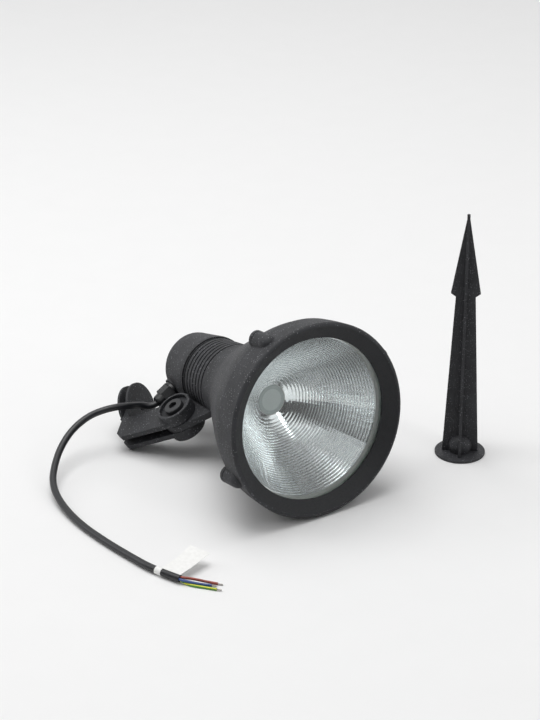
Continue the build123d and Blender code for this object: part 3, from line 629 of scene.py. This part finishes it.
# darker colours inside the crest, again with painted shade in the hollows and painted light on the humps
ringBezel = {"crest": 0.0918, "hollowShade": "0d0e11", "humpLight": "17191d"}
boltLook = {"keyRadius": 0.0046, "socketHighlight": (0.42, 0.50)}

finishes = {
    "sandyCoat": powderCoat("sandyPowderCoat", sandyCoat),
    "ringCoat": powderCoat("sandyPowderCoatRing", sandyCoat, ringBezel),
    "spikeCoat": powderCoat("speckledPowderCoat", spikeCoat),
    "glass": clearGlass("toughenedGlass"),
    "bowl": metallised("vacuumMetallisedBowl"),
    "phosphor": phosphorDisc("phosphorSilicone"),
    "bolt": oxideBolt("blackOxideSteel", boltLook),
    "gland": mouldedPlastic("glossBlackPolyamide", "1a1b1e", "121316", 0.3, 0.7, 0.2),
    "holder": mouldedPlastic("whitePbtHolder", "eceeea", "dfe2dd", 0.35, 0.5, 0.1),
    "driver": mouldedPlastic("whitePcDriverCase", "dedcd4", "d2d0c8", 0.5, 0.8, 0.3),
    "terminal": mouldedPlastic("naturalPolyamide", "e2e4dc", "d4d6cd", 0.42, 0.7, 0.2),
    "washer": mouldedPlastic("naturalNylon", "cfcec6", "c2c1b8", 0.45, 0.7, 0.15),
    "tag": mouldedPlastic("whitePolyesterFilm", "f4f4f2", "ececea", 0.42, 0.35, 0.12, 4.0),
    "coreBrown": mouldedPlastic("brownPvcInsulation", "a5503f", "8a3f31", 0.36, 0.5, 0.1, 3.0),
    "coreBlue": mouldedPlastic("bluePvcInsulation", "3c5792", "2f4880", 0.36, 0.5, 0.1, 3.0),
    "coreEarth": stripedCore("greenYellowPvcInsulation"),
    "board": workedMetal("anodisedAluminiumPlate", "c9cccd", "b6babc", 0.36),
    "zinc": workedMetal("zincPlatedSteel", "b3b6b9", "979a9d", 0.32),
    "copper": workedMetal("tinnedCopperStrand", "b9b5b0", "8f8a86", 0.3, 0.2, (1, 1, 1)),
    "brass": workedMetal("turnedBrass", "b79a58", "a08344", 0.28),
    "gasket": softRubber("greySilicone", "d3d8d2", "c2c9c3", 0.5),
    "seal": softRubber("blackNitrile", "151517", "222225", 0.6),
    "cord": softRubber("blackRubberSheath", "15161a", "1d1f23", 0.34, 1.4, 0.25),
}
print("materials made:", len(finishes))

nodeFinishes = {
    "front_ring": "ringCoat",
    "lamp_housing": "sandyCoat",
    "rear_cap": "sandyCoat",
    "swivel_bracket": "sandyCoat",
    "spike": "spikeCoat",
    "spike_insert": "brass",
    "front_glass": "glass",
    "glass_gasket": "gasket",
    "led_emitter": "phosphor",
    "led_board": "board",
    "heat_spreader": "board",
    "ring_screws": "zinc",
    "driver_box": "driver",
    "driver_screws": "zinc",
    "terminal_block": "terminal",
    "cable_gland_body": "gland",
    "cable_gland_nut": "gland",
    "gland_ring": "seal",
    "gland_seal": "seal",
    "rear_cap_seal": "seal",
    "pivot_bolt": "bolt",
    "pivot_nut": "zinc",
    "friction_washers": "washer",
}
for nodeName, finish in nodeFinishes.items():
    slots = nodes[nodeName].material_slots
    if slots:
        for slot in slots:
            slot.material = finishes[finish]
    else:
        nodes[nodeName].data.materials.append(finishes[finish])


# geometry nodes: trees with named inputs, made into plain meshes

def startTree(name, inputs):
    tree = bpy.data.node_groups.new(name, "GeometryNodeTree")
    tree.interface.new_socket("Geometry", in_out="OUTPUT", socket_type="NodeSocketGeometry")
    for label, kind in inputs.items():
        tree.interface.new_socket(label, in_out="INPUT", socket_type=kind)
    return tree, addNode(tree, "NodeGroupInput").outputs


def finishTree(tree, geometry, surface):
    real = addNode(tree, "GeometryNodeRealizeInstances", links={0: geometry})
    painted = addNode(tree, "GeometryNodeSetMaterial", links={"Geometry": real.outputs[0], "Material": surface})
    addNode(tree, "NodeGroupOutput", links={0: painted.outputs[0]})


def growMesh(name, tree, values):
    grower = bpy.data.objects.new(name, bpy.data.meshes.new(name))
    scene.collection.objects.link(grower)
    modifier = grower.modifiers.new("grow", "NODES")
    modifier.node_group = tree
    for item in tree.interface.items_tree:
        if item.in_out == "INPUT":
            modifier[item.identifier] = values[item.name]
    bpy.context.view_layer.update()
    evaluated = grower.evaluated_get(bpy.context.evaluated_depsgraph_get())
    mesh = bpy.data.meshes.new_from_object(evaluated)
    grower.modifiers.clear()
    bpy.data.objects.remove(grower)
    return mesh


# reflector: pillowed facets in rings and columns on a parabolic bowl

bowl = {
    "columns": 72,
    "rings": 30,
    "steps": 4,  # faces across one facet, each way
    "mouthRadius": 0.0772,
    "throatRadius": 0.0152,
    "mouthDepth": 0.0183,
    "throatDepth": 0.0824,
    "ringCrown": 0.00028,
    "columnCrown": 0.0010,  # of the radius at the facet
    "flangeRadius": 0.0822,
    "wall": 0.0006,
}


def bowlTree():
    tree, given = startTree(
        "facetedBowl",
        {
            "Columns": "NodeSocketInt",
            "Rings": "NodeSocketInt",
            "Steps": "NodeSocketInt",
            "Mouth Radius": "NodeSocketFloat",
            "Throat Radius": "NodeSocketFloat",
            "Mouth Depth": "NodeSocketFloat",
            "Throat Depth": "NodeSocketFloat",
            "Ring Crown": "NodeSocketFloat",
            "Column Crown": "NodeSocketFloat",
            "Surface": "NodeSocketMaterial",
        },
    )
    around = addNode(
        tree, "ShaderNodeMath", {"operation": "MULTIPLY_ADD", 2: 1.0}, {0: given["Columns"], 1: given["Steps"]}
    ).outputs[0]
    down = addNode(
        tree, "ShaderNodeMath", {"operation": "MULTIPLY_ADD", 2: 1.0}, {0: given["Rings"], 1: given["Steps"]}
    ).outputs[0]
    grid = addNode(
        tree, "GeometryNodeMeshGrid", {"Size X": 1.0, "Size Y": 1.0}, {"Vertices X": around, "Vertices Y": down}
    )
    place = addNode(tree, "GeometryNodeInputPosition")
    parts = addNode(tree, "ShaderNodeSeparateXYZ", links={0: place.outputs[0]})
    across = addNode(tree, "ShaderNodeMath", {"operation": "ADD", 1: 0.5}, {0: parts.outputs[0]}).outputs[0]
    along = addNode(tree, "ShaderNodeMath", {"operation": "ADD", 1: 0.5}, {0: parts.outputs[1]}).outputs[0]
    # rings of even slant
    share = addNode(
        tree,
        "ShaderNodeMath",
        {"operation": "MULTIPLY"},
        {
            0: along,
            1: addNode(tree, "ShaderNodeMath", {"operation": "MULTIPLY_ADD", 1: -0.35, 2: 1.35}, {0: along}).outputs[0],
        },
    ).outputs[0]
    low = addNode(tree, "ShaderNodeMath", {"operation": "POWER", 1: 2.0}, {0: given["Throat Radius"]}).outputs[0]
    high = addNode(tree, "ShaderNodeMath", {"operation": "POWER", 1: 2.0}, {0: given["Mouth Radius"]}).outputs[0]
    left = addNode(tree, "ShaderNodeMath", {"operation": "SUBTRACT", 0: 1.0}, {1: share}).outputs[0]
    square = addNode(
        tree,
        "ShaderNodeMath",
        {"operation": "MULTIPLY_ADD"},
        {0: addNode(tree, "ShaderNodeMath", {"operation": "SUBTRACT"}, {0: high, 1: low}).outputs[0], 1: left, 2: low},
    ).outputs[0]
    radius = addNode(tree, "ShaderNodeMath", {"operation": "SQRT"}, {0: square}).outputs[0]
    reach = addNode(
        tree, "ShaderNodeMath", {"operation": "SUBTRACT"}, {0: given["Throat Depth"], 1: given["Mouth Depth"]}
    ).outputs[0]
    depth = addNode(
        tree, "ShaderNodeMath", {"operation": "MULTIPLY_ADD"}, {0: reach, 1: share, 2: given["Mouth Depth"]}
    ).outputs[0]

    def crown(run, count):
        # 0 at a facet's edges, 1 at its middle
        inFacet = addNode(
            tree,
            "ShaderNodeMath",
            {"operation": "FRACT"},
            {0: addNode(tree, "ShaderNodeMath", {"operation": "MULTIPLY"}, {0: run, 1: count}).outputs[0]},
        ).outputs[0]
        centred = addNode(
            tree, "ShaderNodeMath", {"operation": "MULTIPLY_ADD", 1: 2.0, 2: -1.0}, {0: inFacet}
        ).outputs[0]
        return addNode(
            tree,
            "ShaderNodeMath",
            {"operation": "SUBTRACT", 0: 1.0},
            {1: addNode(tree, "ShaderNodeMath", {"operation": "MULTIPLY"}, {0: centred, 1: centred}).outputs[0]},
        ).outputs[0]

    ringCrown = crown(along, given["Rings"])
    columnCrown = crown(across, given["Columns"])
    ringRise = addNode(
        tree, "ShaderNodeMath", {"operation": "MULTIPLY"}, {0: ringCrown, 1: given["Ring Crown"]}
    ).outputs[0]
    columnShare = addNode(
        tree, "ShaderNodeMath", {"operation": "MULTIPLY"}, {0: columnCrown, 1: given["Column Crown"]}
    ).outputs[0]
    columnRise = addNode(tree, "ShaderNodeMath", {"operation": "MULTIPLY"}, {0: columnShare, 1: radius}).outputs[0]
    crowned = addNode(
        tree,
        "ShaderNodeMath",
        {"operation": "SUBTRACT"},
        {
            0: addNode(tree, "ShaderNodeMath", {"operation": "SUBTRACT"}, {0: radius, 1: ringRise}).outputs[0],
            1: columnRise,
        },
    ).outputs[0]
    angle = addNode(tree, "ShaderNodeMath", {"operation": "MULTIPLY", 1: math.tau}, {0: across}).outputs[0]
    facetPlace = addNode(
        tree,
        "ShaderNodeCombineXYZ",
        links={
            0: addNode(
                tree,
                "ShaderNodeMath",
                {"operation": "MULTIPLY"},
                {0: crowned, 1: addNode(tree, "ShaderNodeMath", {"operation": "COSINE"}, {0: angle}).outputs[0]},
            ).outputs[0],
            1: addNode(
                tree,
                "ShaderNodeMath",
                {"operation": "MULTIPLY"},
                {0: crowned, 1: addNode(tree, "ShaderNodeMath", {"operation": "SINE"}, {0: angle}).outputs[0]},
            ).outputs[0],
            2: addNode(tree, "ShaderNodeMath", {"operation": "MULTIPLY", 1: -1.0}, {0: depth}).outputs[0],
        },
    )
    # the lines between facets stay crisp: each is marked on the flat grid, before it is bent
    marked = grid.outputs["Mesh"]
    for crease, height in (("ringLine", ringCrown), ("columnLine", columnCrown)):
        onLine = addNode(tree, "ShaderNodeMath", {"operation": "LESS_THAN", 1: 0.05}, {0: height}).outputs[0]
        marked = addNode(
            tree,
            "GeometryNodeStoreNamedAttribute",
            {"data_type": "FLOAT", "domain": "POINT", "Name": crease},
            {"Geometry": marked, "Value": onLine},
        ).outputs[0]
    bent = addNode(tree, "GeometryNodeSetPosition", links={"Geometry": marked, "Position": facetPlace.outputs[0]})
    joined = addNode(tree, "GeometryNodeMergeByDistance", {"Distance": 0.000005}, {"Geometry": bent.outputs[0]})
    smooth = addNode(tree, "GeometryNodeSetShadeSmooth", {"Shade Smooth": True}, {0: joined.outputs[0]})
    finishTree(tree, smooth.outputs[0], given["Surface"])
    return tree


def bowlRadius(depth):
    share = (bowl["throatDepth"] - depth) / (bowl["throatDepth"] - bowl["mouthDepth"])
    low, high = bowl["throatRadius"] ** 2, bowl["mouthRadius"] ** 2
    return math.sqrt(low + (high - low) * share)


def addFlangeAndBack(mesh):
    # the open bowl gets its flange at the mouth and a plain back, closed at the throat
    shape = bmesh.new()
    shape.from_mesh(mesh)
    lines = [shape.verts.layers.float[name] for name in ("ringLine", "columnLine")]
    for edge in shape.edges:
        edge.smooth = not any(all(v[line] > 0.5 for v in edge.verts) for line in lines)
    rims = [e for e in shape.edges if e.is_boundary]
    middle = -(bowl["mouthDepth"] + bowl["throatDepth"]) / 2
    mouth = [e for e in rims if e.verts[0].co.z > middle]
    throat = [e for e in rims if e.verts[0].co.z < middle]
    reach = bowl["throatDepth"] - bowl["mouthDepth"]
    flangeBack = bowl["mouthDepth"] + bowl["wall"]
    profile = [(bowl["flangeRadius"], bowl["mouthDepth"]), (bowl["flangeRadius"], flangeBack)]
    steepness = (bowl["mouthRadius"] ** 2 - bowl["throatRadius"] ** 2) / reach
    for share in (0.02, 0.2, 0.4, 0.6, 0.75, 0.87, 0.95, 1.0):
        depth = bowl["mouthDepth"] + reach * share
        radius = bowlRadius(depth)
        lean = math.atan(steepness / (2 * radius))
        profile.append((radius + bowl["wall"] * math.cos(lean), depth + bowl["wall"] * math.sin(lean)))
    loop = mouth
    for radius, depth in profile:
        grown = bmesh.ops.extrude_edge_only(shape, edges=loop)["geom"]
        loop = [g for g in grown if isinstance(g, bmesh.types.BMEdge)]
        for vertex in {v for e in loop for v in e.verts}:
            turn = math.atan2(vertex.co.y, vertex.co.x)
            vertex.co = (radius * math.cos(turn), radius * math.sin(turn), -depth)
        for edge in loop:
            edge.smooth = False
    bmesh.ops.bridge_loops(shape, edges=loop + throat)
    bmesh.ops.recalc_face_normals(shape, faces=shape.faces)
    for face in shape.faces:
        face.smooth = True
    for line in ("ringLine", "columnLine"):
        shape.verts.layers.float.remove(shape.verts.layers.float[line])
    shape.to_mesh(mesh)
    shape.free()


bowlValues = {
    "Columns": bowl["columns"],
    "Rings": bowl["rings"],
    "Steps": bowl["steps"],
    "Mouth Radius": bowl["mouthRadius"],
    "Throat Radius": bowl["throatRadius"],
    "Mouth Depth": bowl["mouthDepth"],
    "Throat Depth": bowl["throatDepth"],
    "Ring Crown": bowl["ringCrown"],
    "Column Crown": bowl["columnCrown"],
    "Surface": finishes["bowl"],
}
bowlMesh = growMesh("facetedBowl", bowlTree(), bowlValues)
addFlangeAndBack(bowlMesh)
bowlMesh.transform(headFrame)
facetedBowl = pieceFrom("facetedBowl", bowlMesh, finishes["bowl"])
print("reflector grown:", len(bowlMesh.polygons), "faces")


# holder round the emitter, under the bowl's throat, lathed round the head's axis

holder = {
    "profile": (  # radius and depth behind the ring's crest, in metres
        (0.0148, 0.0840), (0.0148, 0.0836), (0.0151, 0.0834), (0.0165, 0.0829), (0.0180, 0.0823),
        (0.0195, 0.0817), (0.0208, 0.0811), (0.0213, 0.0812), (0.0215, 0.0816), (0.0215, 0.0840),
    ),
    "segments": 96,
}


def latheMesh(name, profile, segments):
    shape = bmesh.new()
    rings = []
    for step in range(segments):
        turn = math.tau * step / segments
        rings.append([shape.verts.new((r * math.cos(turn), r * math.sin(turn), -d)) for r, d in profile])
    for one, two in zip(rings, rings[1:] + rings[:1]):
        for a in range(len(profile)):
            b = (a + 1) % len(profile)
            shape.faces.new((one[a], one[b], two[b], two[a])).smooth = True
    bmesh.ops.recalc_face_normals(shape, faces=shape.faces)
    for edge in shape.edges:
        edge.smooth = edge.calc_face_angle(0) < math.radians(40)
    mesh = bpy.data.meshes.new(name)
    shape.to_mesh(mesh)
    shape.free()
    return mesh


holderMesh = latheMesh("emitterHolder", holder["profile"], holder["segments"])
holderMesh.transform(headFrame)
emitterHolder = pieceFrom("emitterHolder", holderMesh, finishes["holder"])
print("holder turned")


# cores: three insulated wires that fan out on the floor past the cut sheath

coreRadius = 0.00125
cores = {
    "brownCore": ("coreBrown", (
        (-0.1114, -0.2095, 0.00575), (-0.1085, -0.2106, 0.00575), (-0.1030, -0.2110, 0.0053),
        (-0.0958, -0.2115, 0.0042), (-0.0860, -0.2130, 0.0026), (-0.0772, -0.2142, 0.0015),
    )),
    "blueCore": ("coreBlue", (
        (-0.1130, -0.2114, 0.00495), (-0.1102, -0.2132, 0.00485), (-0.1040, -0.2146, 0.0041),
        (-0.0982, -0.2156, 0.0031), (-0.0900, -0.2164, 0.0019), (-0.0827, -0.2170, 0.00145),
    )),
    "earthCore": ("coreEarth", (
        (-0.1118, -0.2098, 0.0032), (-0.1088, -0.2120, 0.0025), (-0.1040, -0.2150, 0.0014),
        (-0.0985, -0.2177, 0.0014), (-0.0899, -0.2198, 0.0014), (-0.0780, -0.2237, 0.00145),
    )),
}


def wireCurve(name, points, radius, finish):
    curve = bpy.data.curves.new(name, "CURVE")
    curve.dimensions = "3D"
    curve.bevel_depth = radius
    curve.bevel_resolution = 4
    curve.resolution_u = 10
    curve.use_fill_caps = True
    line = curve.splines.new("NURBS")
    line.points.add(len(points) - 1)
    for point, place in zip(line.points, points):
        point.co = (*place, 1)
    line.order_u = 3
    line.use_endpoint_u = True
    wire = bpy.data.objects.new(name, curve)
    scene.collection.objects.link(wire)
    curve.materials.append(finishes[finish])
    return wire


coreWires = {name: wireCurve(name, points, coreRadius, finish) for name, (finish, points) in cores.items()}
print("cores drawn:", len(coreWires))


# blank tag: film wrapped once round the cord, its two ends stuck together as a flag

tag = {
    "wrap": (0.3690, 0.3815),  # along the cord from its start
    "wrapRadius": 0.00372,
    "near": ((-0.1285, -0.1980, 0.00825), (-0.1113, -0.2098, 0.00815)),
    "far": ((-0.1033, -0.1670, 0.0140), (-0.0851, -0.1780, 0.0120)),
    "curl": 0.0016,
    "thickness": 0.00026,
    "across": 10,
    "along": 20,
}


def lineOf(curveObject):
    # the cord's middle line, read from its own spline with no bevel
    bare = curveObject.copy()
    bare.data = curveObject.data.copy()
    bare.data.bevel_depth = 0
    scene.collection.objects.link(bare)
    bpy.context.view_layer.update()
    mesh = bpy.data.meshes.new_from_object(bare.evaluated_get(bpy.context.evaluated_depsgraph_get()))
    line = [v.co.copy() for v in mesh.vertices]
    bpy.data.objects.remove(bare)
    bpy.data.meshes.remove(mesh)
    return line


cordMiddle = lineOf(flexCord)
run, wrapLine = 0.0, []
for before, after in zip(cordMiddle, cordMiddle[1:]):
    run += (after - before).length
    if tag["wrap"][0] <= run <= tag["wrap"][1]:
        wrapLine.append(after)
tagShape = bmesh.new()
rings = []
for index, middle in enumerate(wrapLine):
    ahead = (wrapLine[min(index + 1, len(wrapLine) - 1)] - wrapLine[max(index - 1, 0)]).normalized()
    side = Vector((0, 0, 1)).cross(ahead).normalized()
    up = ahead.cross(side)
    rings.append([
        [
            tagShape.verts.new(middle + (side * math.cos(turn) + up * math.sin(turn)) * radius)
            for turn in (math.tau * step / 32 for step in range(32))
        ]
        for radius in (tag["wrapRadius"], tag["wrapRadius"] - tag["thickness"] + 0.00002)
    ])
for one, two in zip(rings, rings[1:]):
    for layer in (0, 1):
        for step in range(32):
            nextStep = (step + 1) % 32
            tagShape.faces.new((one[layer][step], one[layer][nextStep], two[layer][nextStep], two[layer][step]))
for end in (rings[0], rings[-1]):
    for step in range(32):
        nextStep = (step + 1) % 32
        tagShape.faces.new((end[0][step], end[0][nextStep], end[1][nextStep], end[1][step]))
nearLeft, nearRight = (Vector(p) for p in tag["near"])
farLeft, farRight = (Vector(p) for p in tag["far"])
sheets = []
for lift in (0.5, -0.5):
    rows = []
    for step in range(tag["along"] + 1):
        share = step / tag["along"]
        left, right = nearLeft.lerp(farLeft, share), nearRight.lerp(farRight, share)
        row = []
        for cross in range(tag["across"] + 1):
            place = left.lerp(right, cross / tag["across"])
            # the film sags between the cord and its free end, most along its left edge
            place.z -= tag["curl"] * math.sin(math.pi * share) * (1 - 0.5 * cross / tag["across"])
            place.z += tag["thickness"] * lift
            row.append(tagShape.verts.new(place))
        rows.append(row)
    sheets.append(rows)
along, across = tag["along"], tag["across"]
for rows in sheets:
    for step in range(along):
        for cross in range(across):
            near, far = rows[step], rows[step + 1]
            tagShape.faces.new((near[cross], near[cross + 1], far[cross + 1], far[cross]))
top, bottom = sheets
edgeRun = (
    [(0, c) for c in range(across)] + [(s, across) for s in range(along)]
    + [(along, c) for c in range(across, 0, -1)] + [(s, 0) for s in range(along, 0, -1)]
)
for (s1, c1), (s2, c2) in zip(edgeRun, edgeRun[1:] + edgeRun[:1]):
    tagShape.faces.new((top[s1][c1], top[s2][c2], bottom[s2][c2], bottom[s1][c1]))
bmesh.ops.recalc_face_normals(tagShape, faces=tagShape.faces)
for face in tagShape.faces:
    face.smooth = True
for edge in tagShape.edges:
    edge.smooth = edge.calc_face_angle(0) < math.radians(40)
tagMesh = bpy.data.meshes.new("blankTag")
tagShape.to_mesh(tagMesh)
tagShape.free()
blankTag = pieceFrom("blankTag", tagMesh, finishes["tag"])
print("tag folded")


# bare copper: a lay of fine strands past each core

strands = {
    "count": 12,
    "layRadius": 0.00052,
    "strandRadius": 0.00017,
    "length": 0.0046,
    "turns": 0.5,
}


def strandTree():
    tree, given = startTree(
        "copperLay",
        {
            "Count": "NodeSocketInt",
            "Lay Radius": "NodeSocketFloat",
            "Strand Radius": "NodeSocketFloat",
            "Length": "NodeSocketFloat",
            "Turns": "NodeSocketFloat",
            "Surface": "NodeSocketMaterial",
        },
    )
    strand = addNode(
        tree,
        "GeometryNodeCurveSpiral",
        {"Resolution": 8},
        {
            "Rotations": given["Turns"],
            "Start Radius": given["Lay Radius"],
            "End Radius": given["Lay Radius"],
            "Height": given["Length"],
        },
    )
    starts = addNode(tree, "GeometryNodePoints", links={"Count": given["Count"]})
    index = addNode(tree, "GeometryNodeInputIndex")
    turn = addNode(
        tree,
        "ShaderNodeMath",
        {"operation": "DIVIDE"},
        {
            0: addNode(
                tree, "ShaderNodeMath", {"operation": "MULTIPLY", 1: math.tau}, {0: index.outputs[0]}
            ).outputs[0],
            1: given["Count"],
        },
    ).outputs[0]
    rotation = addNode(tree, "ShaderNodeCombineXYZ", links={2: turn})
    laid = addNode(
        tree,
        "GeometryNodeInstanceOnPoints",
        links={"Points": starts.outputs[0], "Instance": strand.outputs[0], "Rotation": rotation.outputs[0]},
    )
    core = addNode(
        tree,
        "GeometryNodeCurvePrimitiveLine",
        {"mode": "DIRECTION", "Direction": (0, 0, 1)},
        {"Length": given["Length"]},
    )
    lines = addNode(tree, "GeometryNodeJoinGeometry", links={0: laid.outputs[0]})
    real = addNode(tree, "GeometryNodeRealizeInstances", links={0: lines.outputs[0]})
    section = addNode(tree, "GeometryNodeCurvePrimitiveCircle", {"Resolution": 8}, {"Radius": given["Strand Radius"]})
    wires = addNode(
        tree,
        "GeometryNodeCurveToMesh",
        {"Fill Caps": True},
        {"Curve": real.outputs[0], "Profile Curve": section.outputs[0]},
    )
    coreSection = addNode(tree, "GeometryNodeCurvePrimitiveCircle", {"Resolution": 12}, {"Radius": given["Lay Radius"]})
    middle = addNode(
        tree,
        "GeometryNodeCurveToMesh",
        {"Fill Caps": True},
        {"Curve": core.outputs[0], "Profile Curve": coreSection.outputs[0]},
    )
    together = addNode(tree, "GeometryNodeJoinGeometry", links={0: wires.outputs[0]})
    tree.links.new(middle.outputs[0], together.inputs[0])
    finishTree(tree, together.outputs[0], given["Surface"])
    return tree


strandValues = {
    "Count": strands["count"],
    "Lay Radius": strands["layRadius"],
    "Strand Radius": strands["strandRadius"],
    "Length": strands["length"],
    "Turns": strands["turns"],
    "Surface": finishes["copper"],
}
layMesh = growMesh("copperLay", strandTree(), strandValues)
allStrands = bmesh.new()
for finish, points in cores.values():
    before, tip = Vector(points[-2]), Vector(points[-1])
    copy = layMesh.copy()
    turn = Vector((0, 0, 1)).rotation_difference((tip - before).normalized()).to_matrix().to_4x4()
    copy.transform(Matrix.Translation(tip) @ turn)
    allStrands.from_mesh(copy)
    bpy.data.meshes.remove(copy)
bmesh.ops.recalc_face_normals(allStrands, faces=allStrands.faces)
strandMesh = bpy.data.meshes.new("copperStrands")
allStrands.to_mesh(strandMesh)
allStrands.free()
copperStrands = pieceFrom("copperStrands", strandMesh, finishes["copper"])
print("copper strands grown:", len(strandMesh.polygons), "faces")


# floor, world and lamps

studio = {
    "paper": "efefef",
    "floorSize": 16.0,
    "worldColour": "f2f2f2",
    "worldStrength": 0.58,  # as light; seen, the world is plain pale
    "lamps": {  # place, target, width, height, watts
        "topSoftbox": ((-0.4, 0.2, 2.6), (0.0, 0.0, 0.0), 2.0, 2.0, 44.0),
        "leftSoftbox": ((-2.4, 0.2, 1.5), (0.0, 0.0, 0.1), 0.9, 1.6, 10.0),
        "rightStrip": ((1.9, -1.7, 1.7), (0.0, 0.0, 0.1), 0.35, 1.4, 6.0),
    },
    "curtain": {  # dark cloth round the camera's side of the room, for the mirror to look into
        "radius": 3.4, "spans": ((190, 212), (226, 322)), "low": 0.15, "high": 2.4,
    },
}

floorMesh = bpy.data.meshes.new("paperFloor")
half = studio["floorSize"] / 2
floorMesh.from_pydata(
    [(-half, -half, 0), (half, -half, 0), (half, half, 0), (-half, half, 0)], [], [(0, 1, 2, 3)]
)
paper, paperTree, paperShader = startMaterial("palePaper")
paperTree.links.new(
    addNode(
        paperTree,
        "ShaderNodeMix",
        {"data_type": "RGBA", 6: linear("eeeeee"), 7: linear("f0f0f0")},
        {
            0: addNode(
                paperTree,
                "ShaderNodeTexNoise",
                {"Scale": 1000 / 40.0},
                {"Vector": addNode(paperTree, "ShaderNodeTexCoord").outputs["Object"]},
            ).outputs["Fac"],
        },
    ).outputs[2],
    paperShader.inputs["Base Color"],
)
paperShader.inputs["Roughness"].default_value = 0.9
paperShader.inputs["Specular IOR Level"].default_value = 0.1
paperFloor = pieceFrom("paperFloor", floorMesh, paper)

world = bpy.data.worlds.new("paleStudio")
world.use_nodes = True
scene.world = world
skyTree = world.node_tree
sky = skyTree.nodes["Background"]
sky.inputs["Color"].default_value = linear(studio["worldColour"])
rays = addNode(skyTree, "ShaderNodeLightPath")
seen = addNode(
    skyTree,
    "ShaderNodeMath",
    {"operation": "MAXIMUM"},
    {0: rays.outputs["Is Camera Ray"], 1: rays.outputs["Is Glossy Ray"]},
)
seen = addNode(
    skyTree, "ShaderNodeMath", {"operation": "MAXIMUM"}, {0: seen.outputs[0], 1: rays.outputs["Is Transmission Ray"]}
)
skyTree.links.new(
    addNode(
        skyTree, "ShaderNodeMapRange", {"To Min": studio["worldStrength"]}, {"Value": seen.outputs[0]}
    ).outputs["Result"],
    sky.inputs["Strength"],
)

for lampName, (place, target, width, height, watts) in studio["lamps"].items():
    light = bpy.data.lights.new(lampName, "AREA")
    light.shape = "RECTANGLE"
    light.size = width
    light.size_y = height
    light.energy = watts
    lamp = bpy.data.objects.new(lampName, light)
    lamp.location = place
    lamp.rotation_euler = (Vector(target) - Vector(place)).to_track_quat("-Z", "Y").to_euler()
    scene.collection.objects.link(lamp)

curtain = studio["curtain"]
curtainMesh = bpy.data.meshes.new("blackCurtain")
corners, panels = [], []
for start, end in curtain["spans"]:
    for fold in range(start, end + 1, 2):
        turn = math.radians(fold)
        reach = curtain["radius"] + (0.04 if fold % 4 else 0.0)
        for height in (curtain["low"], curtain["high"]):
            corners.append((reach * math.cos(turn), reach * math.sin(turn), height))
        if fold > start:
            last = len(corners) - 4
            panels.append((last, last + 2, last + 3, last + 1))
curtainMesh.from_pydata(corners, [], panels)
velvet, velvetTree, velvetShader = startMaterial("blackVelvet")
velvetTree.links.new(
    addNode(
        velvetTree,
        "ShaderNodeMix",
        {"data_type": "RGBA", 6: linear("0a0a0a"), 7: linear("141414")},
        {
            0: addNode(
                velvetTree,
                "ShaderNodeTexNoise",
                {"Scale": 1000 / 20.0},
                {"Vector": addNode(velvetTree, "ShaderNodeTexCoord").outputs["Object"]},
            ).outputs["Fac"],
        },
    ).outputs[2],
    velvetShader.inputs["Base Color"],
)
velvetShader.inputs["Roughness"].default_value = 1.0
blackCurtain = pieceFrom("blackCurtain", curtainMesh, velvet)
blackCurtain.visible_camera = False
print("studio built")


# bodies and soft pieces: each new piece goes on the head's body and hides the parts it replaces

flexCord.data.materials.append(finishes["cord"])
for piece, replaced, slotName in (
    (facetedBowl, ("reflector",), "bright_aluminium"),
    (emitterHolder, ("led_holder", "led_screws"), "white_plastic"),
    (flexCord, ("cord",), "cord_rubber"),
    (blankTag, ("cord_tag",), "tag_white"),
    (coreWires["brownCore"], ("core_brown",), "core_brown"),
    (coreWires["blueCore"], ("core_blue",), "core_blue"),
    (coreWires["earthCore"], ("core_green_yellow",), "core_green_yellow"),
    (copperStrands, ("copper_ends",), "copper"),
):
    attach(piece, "head")
    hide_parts(*replaced)
